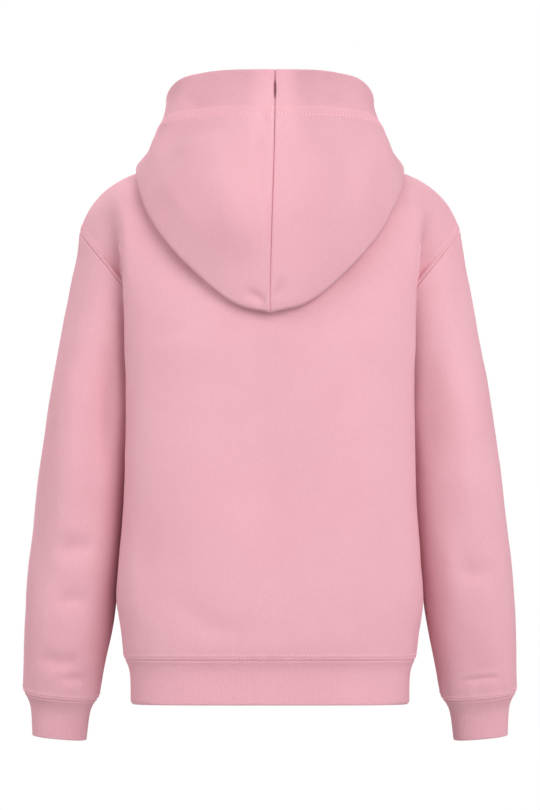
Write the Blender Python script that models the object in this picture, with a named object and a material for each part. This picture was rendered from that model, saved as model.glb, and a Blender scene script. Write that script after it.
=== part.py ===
"""Child's pullover hooded sweatshirt in brushed sweat cloth, filled out as if worn, hood down.

The tables hold millimetres and degrees, and the meshes are made in metres. +Z is up, the wearer
faces -Y with the left hand at +X, and the origin lies midway between the two neck points, where
the wearer's shoulders carry the garment. Each piece is one wall of cloth around a smooth middle
surface. Neighbours share their seam lines, and each stops half a seam gap short of the line.
"""

import math
from collections import namedtuple

import bmesh
import bpy
from mathutils import Vector

MM = 0.001
UP = Vector((0.0, 0.0, 1.0))

# Cloth
SWEAT_CLOTH = 2.0           # thickness of the brushed sweat cloth
TURNED_HEM = 1.2            # what the hood's turned hem adds on its inner side
HOOD_HEM_WIDTH = 44.0       # from the face edge to the hem's lower stitch row
HOOD_HEM_BLEND = 4.0        # over which the cloth thins to either side of that row
RIB_CLOTH = 2.4             # thickness of the doubled rib in its grooves
RIB_RAISE = 0.5             # how far each knitted rib stands out
RIB_PITCH = 2.6             # one rib and its groove, along the band
SEAM_GAP = 0.36
PINK = (0.83, 0.44, 0.51)
RIB_PINK = (0.80, 0.41, 0.48)
ROUGHNESS = 0.95

# Body tube, with the hollow that each hanging sleeve presses into its side
CORNER_POWER = 3.4          # squareness of the body's section, where 2 is an ellipse
PRESS_SPREAD = 44.0         # reach of that hollow to the front and back
WAIST_SEAM_Z = -525.0
UNDERARM_Z = -196.0
HEM_Z = -571.0

BodyLevel = namedtuple("BodyLevel", "z half_width back front press press_y")
BODY_LEVELS = (
    BodyLevel(WAIST_SEAM_Z, 151.0, 94.0, 99.0, 0.0, -20.0),
    BodyLevel(-514.0, 153.4, 97.5, 103.0, 0.0, -19.0),
    BodyLevel(-499.0, 154.8, 100.0, 106.0, 0.0, -18.0),
    BodyLevel(-463.0, 161.0, 102.5, 109.0, 3.0, -16.0),
    BodyLevel(-420.0, 160.0, 103.0, 110.0, 8.0, -11.0),
    BodyLevel(-342.0, 158.6, 103.5, 111.0, 14.0, -6.0),
    BodyLevel(-300.0, 158.2, 104.0, 111.5, 18.0, -5.0),
    BodyLevel(-250.0, 158.2, 105.0, 112.0, 25.0, -4.0),
    BodyLevel(-222.0, 158.6, 105.6, 112.0, 32.0, -2.0),
    BodyLevel(UNDERARM_Z, 159.0, 106.0, 112.0, 31.0, 0.0),
)
WAISTBAND_LEVELS = (
    BodyLevel(WAIST_SEAM_Z, 151.0, 94.0, 99.0, 0.0, 0.0),
    BodyLevel(-532.0, 147.2, 91.0, 95.5, 0.0, 0.0),
    BodyLevel(-543.0, 145.4, 89.8, 94.2, 0.0, 0.0),
    BodyLevel(HEM_Z, 145.0, 89.5, 94.0, 0.0, 0.0),
)

# Neck seam and shoulder line
NECK_HALF_WIDTH = 73.5
NECK_BACK = 52.0
NECK_FRONT = 76.0
NECK_BACK_DROP = 14.0
NECK_FRONT_DROP = 58.0
SHOULDER_TIP = Vector((201.0, 0.0, -84.0))
SHOULDER_HANDLES = (Vector((135.0, 0.0, -8.0)), Vector((190.0, 0.0, -22.0)))
NECK_SHARE = 0.4            # the share of a half panel's width that ends at the neck

# How the yoke leaves the underarm level and reaches the neck, shoulder and armhole
YokeLine = namedtuple("YokeLine", "across leave_x leave_y leave_z arrive_x arrive_y arrive_z")
YOKE_BACK = (
    YokeLine(0.0, 0.0, 0.0, 200.0, 0.0, -110.0, 110.0),
    YokeLine(0.4, 0.0, 0.0, 235.0, -10.0, -195.0, 60.0),
    YokeLine(0.72, 5.0, 5.0, 245.0, 20.0, -235.0, 30.0),
    YokeLine(0.88, -10.0, 90.0, 190.0, 50.0, -225.0, 80.0),
    YokeLine(1.0, -15.0, 175.0, 125.0, 62.0, -190.0, 105.0),
)
YOKE_FRONT = (
    YokeLine(0.0, 0.0, 0.0, 150.0, 0.0, 60.0, 110.0),
    YokeLine(0.4, 0.0, 0.0, 225.0, -10.0, 185.0, 60.0),
    YokeLine(0.72, 5.0, -5.0, 240.0, 20.0, 235.0, 30.0),
    YokeLine(0.88, -10.0, -90.0, 190.0, 50.0, 225.0, 80.0),
    YokeLine(1.0, -15.0, -175.0, 125.0, 62.0, 190.0, 105.0),
)

# The long folds beside each armhole: where the panel turns its edge over the hanging sleeve
SideFold = namedtuple("SideFold", "up across valley ridge width")
SIDE_FOLDS = (
    SideFold(0.60, 0.86, 0.0, 0.0, 0.060),
    SideFold(1.00, 0.90, 0.0, 0.0, 0.050),
    SideFold(1.25, 0.90, 1.0, 1.0, 0.070),
    SideFold(1.45, 0.89, 1.5, 2.0, 0.075),
    SideFold(1.60, 0.88, 2.5, 2.0, 0.075),
    SideFold(1.75, 0.86, 2.0, 1.0, 0.075),
    SideFold(1.88, 0.84, 0.0, 0.0, 0.070),
    SideFold(2.00, 0.84, 0.0, 0.0, 0.070),
)
FOLD_LEAN = Vector((0.45, 0.89, 0.0))   # the way a side fold swells on the back
FOLD_FREE_EDGE = 0.03       # the share of the width at the side seam that no fold moves

# Sleeve rings, from the first whole ring to the cuff seam, and the cuff's rings below it
Ring = namedtuple("Ring", "z x y half_width half_depth tilt lean")
SLEEVE_LEVELS = (
    Ring(-262.0, 186.0, -4.0, 45.5, 52.0, 6.0, 1.0),
    Ring(-340.0, 196.0, -6.0, 46.5, 51.0, 7.0, 3.0),
    Ring(-420.0, 204.5, -11.0, 47.5, 49.0, 7.0, 6.0),
    Ring(-480.0, 211.0, -18.0, 45.8, 46.0, 7.0, 9.0),
    Ring(-530.0, 216.7, -26.0, 42.0, 41.5, 6.0, 10.0),
    Ring(-553.0, 219.0, -30.2, 39.6, 38.5, 5.0, 10.0),
    Ring(-562.0, 219.8, -31.6, 37.0, 35.5, 5.0, 10.0),
)
CUFF_LEVELS = (
    Ring(-562.0, 219.8, -31.6, 37.0, 35.5, 5.0, 10.0),
    Ring(-568.5, 220.2, -32.6, 31.6, 30.0, 5.0, 9.5),
    Ring(-578.0, 220.5, -34.2, 29.2, 26.8, 5.0, 8.0),
    Ring(-607.0, 221.6, -38.5, 27.2, 24.8, 5.0, 4.0),
)
CAP_WAY = Vector((0.12, 0.0, -1.0))         # the way the sleeve leaves the shoulder tip
UNDERARM_WAY = Vector((0.9, 0.0, -0.45))    # and the underarm point
# How strongly the sleeve leaves the armhole and arrives at its first whole ring
CAP_LEAVE = 150.0
UNDERARM_LEAVE = 60.0
CAP_ARRIVE = 132.0
UNDERARM_ARRIVE = 49.5

# The hood's section at each turn from centre back (0) to centre front (180): up out of the neck
# seam, down over the shoulders to the fold, and up the outer side to the face edge
HoodLine = namedtuple(
    "HoodLine", "turn stand under_r under_z fold_x fold_y fold_z mid_r mid_z edge_r edge_z"
)
HOOD_LINES = (
    HoodLine(0.0, 90.0, 92.0, -62.0, 0.0, 116.0, -158.5, 121.0, -45.0, 57.0, 94.5),
    HoodLine(20.0, 85.0, 95.0, -57.0, 41.0, 113.0, -147.0, 123.0, -42.0, 61.0, 94.2),
    HoodLine(40.0, 75.0, 100.0, -40.0, 88.0, 104.0, -108.5, 129.0, -27.0, 72.0, 93.2),
    HoodLine(55.0, 65.0, 107.0, -21.0, 118.0, 86.0, -72.0, 133.0, -10.0, 84.0, 90.6),
    HoodLine(70.0, 55.0, 110.0, -3.0, 134.5, 58.0, -36.0, 133.0, 10.0, 98.5, 85.0),
    HoodLine(85.0, 50.0, 108.0, 8.0, 139.5, 18.0, -10.0, 124.0, 19.0, 106.5, 72.0),
    HoodLine(100.0, 45.0, 104.0, 5.0, 132.0, -20.0, -10.0, 121.0, 16.0, 109.5, 54.0),
    HoodLine(120.0, 35.0, 96.0, -12.0, 103.0, -60.0, -22.0, 119.0, -2.0, 111.0, 27.0),
    HoodLine(145.0, 18.0, 84.0, -35.0, 56.0, -80.0, -33.0, 104.0, -23.0, 104.0, -4.0),
    HoodLine(165.0, 8.0, 80.0, -47.0, 22.0, -82.0, -40.0, 89.5, -33.0, 94.0, -26.0),
    HoodLine(180.0, 6.0, 79.0, -52.5, 0.0, -82.0, -47.3, 85.0, -42.0, 88.0, -37.0),
)
LAP_LENGTH = 24.0           # height of the hood's front edge above the neck seam at centre front
LAP_SLOPE = 0.6             # how much of it each degree past centre front takes away
LAP_LIFT = 4.8              # the left front edge lies this far outside the right one
LIFT_TURNS = (148.0, 170.0) # over which it leaves the neck seam outward
LAP_RAISE = 0.32            # its lower edge starts this far up its section
RAISE_TURNS = (142.0, 158.0)
STAND_FLARE = 3.5           # how far the hood leans outward as it leaves the neck seam

# Mesh steps
NECK_COLUMNS = 7            # half panel columns that end at the neck
SHOULDER_COLUMNS = 8        # and those that end at the shoulder
SIDE_CROWDING = 1.35        # how much closer they lie towards the side, where 1 is even
BODY_ROWS = 9
YOKE_ROWS = 9
SLEEVE_CAP_ROWS = 5
SLEEVE_ROWS = 9
HOOD_ROWS = 18
BAND_INNER_COLUMNS = 64
CUFF_INNER_COLUMNS = 24
FAIREST_STEPS = 60          # of the search for a point's offset direction
FAIREST_STEP = 0.5          # the first step's size
FAIREST_SHRINK = 0.92       # and how each later one shrinks
FAIREST_LEAN = 0.7          # cosine past which an offset is lengthened no more
SHARPEST_MITRE = 0.4        # cosine past which a seam's mitre is cut no longer
SMALLEST_NORMAL = 1e-6
SEAM_KEYS = 10.0            # points of two walls are one where their tenths of a mm agree
RIB_TURN = 0.5              # degrees to either side over which a band's direction is taken


def smooth_step(value, start, end):
    """0 before start, 1 after end, and a soft rise between."""
    share = min(1.0, max(0.0, (value - start) / (end - start)))
    return share * share * (3.0 - 2.0 * share)


def hermite(start, leave, end, arrive, share):
    """Point at a share of the cubic that leaves start and arrives at end with these slopes."""
    square = share * share
    cube = square * share
    return (
        start * (2.0 * cube - 3.0 * square + 1.0)
        + leave * (cube - 2.0 * square + share)
        + end * (3.0 * square - 2.0 * cube)
        + arrive * (cube - square)
    )


def slope_at(keys, values, index):
    """Rate of change at a table row, taken across its neighbours."""
    low = max(0, index - 1)
    high = min(len(keys) - 1, index + 1)
    return (values[high] - values[low]) / (keys[high] - keys[low])


def at_key(table, key):
    """The table's row at a key between its rows, each column joined by a smooth cubic."""
    keys = [row[0] for row in table]
    if keys[0] > keys[-1]:
        table = table[::-1]
        keys = keys[::-1]
    key = min(max(key, keys[0]), keys[-1])
    index = max(i for i in range(len(keys) - 1) if keys[i] <= key)
    span = keys[index + 1] - keys[index]
    share = (key - keys[index]) / span
    columns = []
    for values in zip(*table):
        leave = slope_at(keys, values, index) * span
        arrive = slope_at(keys, values, index + 1) * span
        columns.append(hermite(values[index], leave, values[index + 1], arrive, share))
    return type(table[0])(*columns)


# Middle surfaces


def mirrored(point):
    """The point's twin on the other side of the garment's middle plane."""
    return Vector((-point.x, point.y, point.z))


def body_ring(levels, z, turn):
    """Point of the body tube at a height; turn 0 is centre back, 90 the side, 180 centre front."""
    level = at_key(levels, z)
    sine = math.sin(math.radians(turn))
    cosine = math.cos(math.radians(turn))
    depth = level.back if cosine >= 0.0 else level.front
    inverse = (abs(sine) / level.half_width) ** CORNER_POWER
    inverse += (abs(cosine) / depth) ** CORNER_POWER
    radius = inverse ** (-1.0 / CORNER_POWER)
    x = radius * sine
    y = radius * cosine
    hollow = level.press * math.exp(-(((y - level.press_y) / PRESS_SPREAD) ** 4))
    return Vector((x - math.copysign(hollow, x) * (x / level.half_width) ** 2, y, z))


def neck_seam(turn):
    """Point of the neck seam; turn 0 is centre back, 90 the neck point, 180 centre front."""
    sine = math.sin(math.radians(turn))
    cosine = math.cos(math.radians(turn))
    reach, drop = (NECK_BACK, NECK_BACK_DROP) if cosine >= 0.0 else (NECK_FRONT, NECK_FRONT_DROP)
    return Vector((NECK_HALF_WIDTH * sine, reach * cosine, -drop * cosine * cosine))


def shoulder_line(share):
    """Point of the shoulder seam from the neck point (0) to the armhole (1)."""
    rest = 1.0 - share
    return (
        neck_seam(90.0) * rest**3
        + SHOULDER_HANDLES[0] * (3.0 * rest * rest * share)
        + SHOULDER_HANDLES[1] * (3.0 * rest * share * share)
        + SHOULDER_TIP * share**3
    )


def side_fold(facing, across, up):
    """How far the side fold moves a panel's point: out along its edge, in along its valley."""
    fold = at_key(SIDE_FOLDS, up)
    valley = fold.valley * math.exp(-(((across - fold.across) / fold.width) ** 2))
    ridge = fold.ridge * math.exp(-(((across - fold.across + 2.0 * fold.width) / fold.width) ** 2))
    swell = FOLD_LEAN * (ridge - valley) * smooth_step(1.0 - across, 0.0, FOLD_FREE_EDGE)
    return Vector((swell.x, swell.y * facing, swell.z))


def panel_point(facing, across, up):
    """Point of the left half of a body panel; facing 1 is the back, -1 the front.

    across runs from the centre line (0) to the side seam and armhole (1). up runs from the waist
    seam (0) over the underarm level (1) to the neck and shoulder (2).
    """
    turn = 90.0 * across if facing > 0 else 180.0 - 90.0 * across
    if up <= 1.0:
        z = WAIST_SEAM_Z + (UNDERARM_Z - WAIST_SEAM_Z) * up
        return body_ring(BODY_LEVELS, z, turn) + side_fold(facing, across, up)
    line = at_key(YOKE_BACK if facing > 0 else YOKE_FRONT, across)
    if across <= NECK_SHARE:
        neck_turn = 90.0 * across / NECK_SHARE
        top = neck_seam(neck_turn if facing > 0 else 180.0 - neck_turn)
    else:
        top = shoulder_line((across - NECK_SHARE) / (1.0 - NECK_SHARE))
    leave = Vector((line.leave_x, line.leave_y, line.leave_z))
    arrive = Vector((line.arrive_x, line.arrive_y, line.arrive_z))
    base = hermite(body_ring(BODY_LEVELS, UNDERARM_Z, turn), leave, top, arrive, up - 1.0)
    return base + side_fold(facing, across, up)


def ring_point(ring, turn):
    """Point of a sleeve ring; turn 0 is outermost, 90 towards the back, 180 against the body."""
    outward, backward = ring_ways(ring)
    centre = Vector((ring.x, ring.y, ring.z))
    return (
        centre
        + outward * (ring.half_width * math.cos(math.radians(turn)))
        + backward * (ring.half_depth * math.sin(math.radians(turn)))
    )


def ring_ways(ring):
    """The outward and backward directions of a sleeve ring's plane."""
    tilt = math.radians(ring.tilt)
    lean = math.radians(ring.lean)
    return (
        Vector((math.cos(tilt), 0.0, math.sin(tilt))),
        Vector((0.0, math.cos(lean), -math.sin(lean))),
    )


def ring_axis(ring):
    """The upward direction square to a sleeve ring's plane."""
    outward, backward = ring_ways(ring)
    return outward.cross(backward).normalized()


def armhole(turn):
    """Point of the armhole seam; turn 0 is the shoulder tip, 180 the underarm, 270 the front."""
    facing = 1 if turn <= 180.0 else -1
    from_tip = turn if facing > 0 else 360.0 - turn
    return panel_point(facing, 1.0, 2.0 - from_tip / 180.0)


def sleeve_point(turn, along):
    """Point of the left sleeve; along 0 is the armhole, 1 the first whole ring, 2 the cuff seam."""
    first = SLEEVE_LEVELS[0]
    if along >= 1.0:
        z = first.z + (SLEEVE_LEVELS[-1].z - first.z) * (along - 1.0)
        return ring_point(at_key(SLEEVE_LEVELS, z), turn)
    outer = 0.5 + 0.5 * math.cos(math.radians(turn))
    inner = 1.0 - outer
    way = (CAP_WAY * outer + UNDERARM_WAY * inner).normalized()
    leave = way * (CAP_LEAVE * outer + UNDERARM_LEAVE * inner)
    arrive = ring_axis(first) * -(CAP_ARRIVE * outer + UNDERARM_ARRIVE * inner)
    return hermite(armhole(turn), leave, ring_point(first, turn), arrive, along)


def outward_way(turn):
    """The level direction away from the neck; turn 0 is straight back."""
    return Vector((math.sin(math.radians(turn)), math.cos(math.radians(turn)), 0.0))


def hood_section(turn, out):
    """Point of the hood at a turn up to 180; out 0 is the neck seam, 2 the fold, 4 the edge."""
    line = at_key(HOOD_LINES, turn)
    outward = outward_way(turn)
    knots = [
        neck_seam(turn),
        outward * line.under_r + UP * line.under_z,
        Vector((line.fold_x, line.fold_y, line.fold_z)),
        outward * line.mid_r + UP * line.mid_z,
        outward * line.edge_r + UP * line.edge_z,
    ]
    slopes = [(knots[min(i + 1, 4)] - knots[max(i - 1, 0)]) * 0.5 for i in range(5)]
    slopes[0] = outward * STAND_FLARE + UP * line.stand
    slopes[4] = knots[4] - knots[3]
    index = min(3, int(out))
    return hermite(knots[index], slopes[index], knots[index + 1], slopes[index + 1], out - index)


def hood_point(turn, out, lap):
    """Point of a hood half; past centre front its edge runs on down, over the other half's.

    lap is 1 on the half that crosses outside the other, and 0 on the other.
    """
    past = max(0.0, turn - 180.0)
    near_turn = turn if past == 0.0 else 180.0 - past
    reach = (LAP_LENGTH - LAP_SLOPE * past) / (LAP_LENGTH + LAP_SLOPE * past)
    lift = lap * LAP_LIFT * smooth_step(turn, LIFT_TURNS[0], LIFT_TURNS[1])
    start = lap * LAP_RAISE * smooth_step(turn, RAISE_TURNS[0], RAISE_TURNS[1])
    out = start + (4.0 * reach - start) * out / 4.0
    place = hood_section(near_turn, out) + outward_way(near_turn) * lift
    return place if past == 0.0 else mirrored(place)


# Walls of cloth


class Wall:
    """A grid of points on the middle of the cloth that becomes one solid.

    Rows run upward and columns anticlockwise seen from above, so that faces point outward.
    """

    def __init__(self, name, colour, rows, closed=False):
        self.name = name
        self.colour = colour
        self.rows = rows
        self.closed = closed
        self.thickness = [[SWEAT_CLOTH / 2.0] * len(row) for row in rows]
        self.offsets = [[None] * len(row) for row in rows]

    def cell_faces(self):
        """Each face's normal with its four cells."""
        columns = len(self.rows[0])
        for i in range(len(self.rows) - 1):
            for j in range(columns if self.closed else columns - 1):
                k = (j + 1) % columns
                cells = ((i, j), (i, k), (i + 1, k), (i + 1, j))
                a, b, c, d = (self.rows[p][q] for p, q in cells)
                normal = (c - a).cross(d - b)
                if normal.length > SMALLEST_NORMAL:
                    yield normal.normalized(), cells

    def edge_cells(self):
        """Each edge cell with the cell inside it and its neighbours along the edge."""
        last = len(self.rows) - 1
        end = len(self.rows[0]) - 1
        for j in range(end + 1):
            before, after = (j - 1) % (end + 1), (j + 1) % (end + 1)
            if not self.closed:
                before, after = max(0, j - 1), min(end, j + 1)
            yield (0, j), (1, j), (0, before), (0, after)
            yield (last, j), (last - 1, j), (last, before), (last, after)
        if not self.closed:
            for i in range(last + 1):
                before, after = max(0, i - 1), min(last, i + 1)
                yield (i, 0), (i, 1), (before, 0), (after, 0)
                yield (i, end), (i, end - 1), (before, end), (after, end)

    def pull_back_edges(self):
        """Stops every edge short of its seam line, further where the seam makes a sharper angle."""
        normals = {}
        for normal, cells in self.cell_faces():
            for cell in cells:
                normals[cell] = normals.get(cell, Vector()) + normal
        shifts = []
        for cell, inside, before, after in self.edge_cells():
            point = self.rows[cell[0]][cell[1]]
            inward = self.rows[inside[0]][inside[1]] - point
            seam = (self.rows[after[0]][after[1]] - self.rows[before[0]][before[1]]).normalized()
            inward = (inward - seam * inward.dot(seam)).normalized()
            mitre = self.offsets[cell[0]][cell[1]].normalized().dot(normals[cell].normalized())
            shifts.append((cell, inward * (SEAM_GAP / 2.0 / max(SHARPEST_MITRE, mitre))))
        for (i, j), shift in shifts:
            self.rows[i][j] = self.rows[i][j] + shift

    def cut_square(self, row, axis):
        """Cuts an edge row in one plane, square to the axis."""
        for j, offset in enumerate(self.offsets[row]):
            flat = offset - axis * offset.dot(axis)
            self.offsets[row][j] = flat * (offset.length / flat.length)

    def solid(self):
        """Makes the wall's mesh object: outer skin, inner skin and the edges between them."""
        mesh = bmesh.new()
        outer = []
        inner = []
        for row, offsets, insides in zip(self.rows, self.offsets, self.thickness):
            outer.append([
                mesh.verts.new((point + offset * (SWEAT_CLOTH / 2.0)) * MM)
                for point, offset in zip(row, offsets)
            ])
            inner.append([
                mesh.verts.new((point - offset * inside) * MM)
                for point, offset, inside in zip(row, offsets, insides)
            ])
        join_rings(mesh, outer, self.closed, False)
        join_rings(mesh, inner, self.closed, True)
        join_edge(mesh, outer[0], inner[0], self.closed, True)
        join_edge(mesh, outer[-1], inner[-1], self.closed, False)
        if not self.closed:
            join_edge(mesh, [row[0] for row in outer], [row[0] for row in inner], False, False)
            join_edge(mesh, [row[-1] for row in outer], [row[-1] for row in inner], False, True)
        return mesh_object(self.name, mesh, self.colour)


def join_rings(mesh, rings, closed, flip):
    """Fills the quads between neighbouring rings of points."""
    columns = len(rings[0])
    for low, high in zip(rings, rings[1:]):
        for j in range(columns if closed else columns - 1):
            k = (j + 1) % columns
            if flip:
                mesh.faces.new((low[j], high[j], high[k], low[k]))
            else:
                mesh.faces.new((low[j], low[k], high[k], high[j]))


def join_edge(mesh, outer, inner, closed, flip):
    """Fills a wall's edge between its outer and inner lines.

    Each quad is split from the lower outer point, so that the two edges at a seam match.
    """
    columns = len(outer)
    for j in range(columns if closed else columns - 1):
        a, b = outer[j], outer[(j + 1) % columns]
        c, d = inner[(j + 1) % columns], inner[j]
        if a.co.z < b.co.z:
            halves = ((a, b, c), (a, c, d))
        else:
            halves = ((a, b, d), (b, c, d))
        for corners in halves:
            mesh.faces.new(corners[::-1] if flip else corners)


def fairest_offset(normals):
    """The direction that leans least away from every normal, lengthened to keep the thickness."""
    fair = sum(normals, Vector()).normalized()
    step = FAIREST_STEP
    for _ in range(FAIREST_STEPS):
        worst = min(normals, key=fair.dot)
        fair = (fair + worst * step).normalized()
        step *= FAIREST_SHRINK
    lean = min(fair.dot(normal) for normal in normals)
    return fair / max(FAIREST_LEAN, lean)


def set_offsets(walls):
    """Gives walls that meet at a seam one shared offset there, so that their edges meet."""
    found = {}
    for wall in walls:
        for normal, cells in wall.cell_faces():
            for i, j in cells:
                key = tuple(round(value * SEAM_KEYS) for value in wall.rows[i][j])
                found.setdefault(key, []).append(normal)
    for wall in walls:
        for i, row in enumerate(wall.rows):
            for j, point in enumerate(row):
                key = tuple(round(value * SEAM_KEYS) for value in point)
                wall.offsets[i][j] = fairest_offset(found[key])


def mesh_object(name, mesh, colour):
    """Links a bmesh as a named object with its own material."""
    data = bpy.data.meshes.new(name)
    mesh.to_mesh(data)
    mesh.free()
    material = bpy.data.materials.new(name)
    material.use_nodes = True
    shader = material.node_tree.nodes["Principled BSDF"]
    shader.inputs["Base Color"].default_value = (*colour, 1.0)
    shader.inputs["Roughness"].default_value = ROUGHNESS
    data.materials.append(material)
    data.shade_smooth()
    thing = bpy.data.objects.new(name, data)
    bpy.context.scene.collection.objects.link(thing)
    return thing


def panel_columns():
    """The shares across a half panel at which its columns lie."""
    neck = [NECK_SHARE * i / NECK_COLUMNS for i in range(NECK_COLUMNS)]
    rests = [(1.0 - i / SHOULDER_COLUMNS) ** SIDE_CROWDING for i in range(SHOULDER_COLUMNS + 1)]
    return neck + [1.0 - (1.0 - NECK_SHARE) * rest for rest in rests]


def panel_wall(name, facing):
    """The front or back panel, from one side seam over the centre to the other."""
    ups = [i / BODY_ROWS for i in range(BODY_ROWS)]
    ups += [1.0 + i / YOKE_ROWS for i in range(YOKE_ROWS + 1)]
    rows = []
    for up in ups:
        half = [panel_point(facing, across, up) for across in panel_columns()]
        whole = [mirrored(point) for point in half[:0:-1]] + half
        rows.append(whole[::-1] if facing > 0 else whole)
    return Wall(name, PINK, rows)


def sleeve_wall(name, side):
    """A sleeve tube from the cuff seam up to the armhole; side 1 is the left."""
    turns = [180.0 * i / YOKE_ROWS for i in range(2 * YOKE_ROWS)]
    alongs = [i / SLEEVE_CAP_ROWS for i in range(SLEEVE_CAP_ROWS)]
    alongs += [1.0 + i / SLEEVE_ROWS for i in range(SLEEVE_ROWS + 1)]
    rows = [[sleeve_point(turn, along) for turn in turns] for along in reversed(alongs)]
    if side < 0:
        rows = [[mirrored(point) for point in reversed(row)] for row in rows]
    return Wall(name, PINK, rows, closed=True)


def hood_wall(name, side, lap):
    """One half of the hood, from the centre seam to its front edge; side 1 is the left."""
    step = 90.0 / NECK_COLUMNS
    turns = [step * i for i in range(2 * NECK_COLUMNS + 2)]
    rows = []
    for k in range(HOOD_ROWS + 1):
        row = [hood_point(turn, 4.0 * k / HOOD_ROWS, lap) for turn in turns]
        rows.append(row[::-1] if side > 0 else [mirrored(point) for point in row])
    wall = Wall(name, PINK, rows)
    for j in range(len(turns)):
        run = 0.0
        for i in range(HOOD_ROWS, -1, -1):
            if i < HOOD_ROWS:
                run += (rows[i + 1][j] - rows[i][j]).length
            hem = 1.0 - smooth_step(run, HOOD_HEM_WIDTH - HOOD_HEM_BLEND, HOOD_HEM_WIDTH + HOOD_HEM_BLEND)
            wall.thickness[i][j] += TURNED_HEM * hem
    return wall


def ring_length(point_at):
    """Length around a ring."""
    points = [point_at(float(turn)) for turn in range(361)]
    return sum((after - before).length for before, after in zip(points, points[1:]))


def even_turns(point_at, count):
    """Turns that divide a ring into this many equal lengths."""
    fine = 8 * count
    points = [point_at(360.0 * k / fine) for k in range(fine + 1)]
    runs = [0.0]
    for before, after in zip(points, points[1:]):
        runs.append(runs[-1] + (after - before).length)
    turns = []
    k = 0
    for j in range(count):
        target = runs[-1] * j / count
        while runs[k + 1] < target:
            k += 1
        share = (target - runs[k]) / (runs[k + 1] - runs[k])
        turns.append(360.0 * (k + share) / fine)
    return turns


def rib_ring(mesh, point_at, axis, count, reaches):
    """A ring of points beside the middle of the cloth, by each of the reaches in turn."""
    ring = []
    for j, turn in enumerate(even_turns(point_at, count)):
        along = point_at(turn + RIB_TURN) - point_at(turn - RIB_TURN)
        normal = along.cross(axis).normalized()
        point = point_at(turn) + normal * reaches[j % len(reaches)]
        ring.append(mesh.verts.new(point * MM))
    return ring


def join_uneven(mesh, low, high):
    """Fills the strip between two closed rings that have different numbers of points."""
    i = 0
    j = 0
    while i < len(low) or j < len(high):
        corners = [low[i % len(low)], high[j % len(high)]]
        if (i + 0.5) / len(low) < (j + 0.5) / len(high):
            i += 1
            corners.insert(1, low[i % len(low)])
        else:
            j += 1
            corners.insert(1, high[j % len(high)])
        mesh.faces.new(corners)


def ribbed_band(name, ring_points, axes, ribs, inner_columns):
    """A rib-knit tube: ridges and grooves in its outer points over a plain inside.

    ring_points are functions from a turn to the middle of the cloth, from the lowest ring to the
    highest, and axes the upward directions that square each ring's normals.
    """
    mesh = bmesh.new()
    groove = RIB_CLOTH / 2.0
    outer = []
    inner = []
    for point_at, axis in zip(ring_points, axes):
        outer.append(rib_ring(mesh, point_at, axis, 2 * ribs, (groove + RIB_RAISE, groove)))
        inner.append(rib_ring(mesh, point_at, axis, inner_columns, (-groove,)))
    join_rings(mesh, outer, True, False)
    join_rings(mesh, inner, True, True)
    join_uneven(mesh, inner[0], outer[0])
    join_uneven(mesh, outer[-1], inner[-1])
    return mesh_object(name, mesh, RIB_PINK)


def waistband():
    """The ribbed band below the waist seam."""
    heights = [level.z for level in reversed(WAISTBAND_LEVELS)]
    heights[-1] -= SEAM_GAP / 2.0
    rings = [lambda turn, z=z: body_ring(WAISTBAND_LEVELS, z, -turn) for z in heights]
    ribs = round(ring_length(rings[0]) / RIB_PITCH)
    return ribbed_band("waistband", rings, [UP] * len(rings), ribs, BAND_INNER_COLUMNS)


def cuff(name, side):
    """The ribbed cuff below a sleeve's seam; side 1 is the left."""
    rings = []
    axes = []
    for ring in reversed(CUFF_LEVELS):
        axis = ring_axis(ring)
        top = SEAM_GAP / 2.0 if ring is CUFF_LEVELS[0] else 0.0
        if side > 0:
            rings.append(lambda turn, ring=ring, drop=axis * top: ring_point(ring, turn) - drop)
            axes.append(axis)
        else:
            rings.append(
                lambda turn, ring=ring, drop=axis * top: mirrored(ring_point(ring, -turn) - drop)
            )
            axes.append(mirrored(axis))
    ribs = round(ring_length(rings[0]) / RIB_PITCH)
    return ribbed_band(name, rings, axes, ribs, CUFF_INNER_COLUMNS)


def main():
    """Clears the scene and builds every piece."""
    for thing in list(bpy.data.objects):
        bpy.data.objects.remove(thing)
    walls = [
        panel_wall("back_panel", 1),
        panel_wall("front_panel", -1),
        sleeve_wall("sleeve_left", 1),
        sleeve_wall("sleeve_right", -1),
        hood_wall("hood_left", 1, 1.0),
        hood_wall("hood_right", -1, 0.0),
    ]
    set_offsets(walls)
    wrist_axis = ring_axis(SLEEVE_LEVELS[-1])
    for wall, axis in zip(walls, (UP, UP, wrist_axis, mirrored(wrist_axis))):
        wall.cut_square(0, axis)
    for wall in walls:
        wall.pull_back_edges()
        wall.solid()
    waistband()
    cuff("cuff_left", 1)
    cuff("cuff_right", -1)


main()
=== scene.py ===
"""A child's pullover hooded sweatshirt in pink sweat cloth, filled out as if worn, hood down.

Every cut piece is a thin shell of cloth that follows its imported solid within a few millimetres.
Sizes are in millimetres and degrees until a mesh is made. +Z is up, the wearer faces -Y and the
left hand is at +X.
"""

import logging
import math
from dataclasses import dataclass
from enum import Enum
from typing import Callable, Sequence

import bmesh
import bpy
import numpy as np
from mathutils import Matrix, Vector, noise


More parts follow.
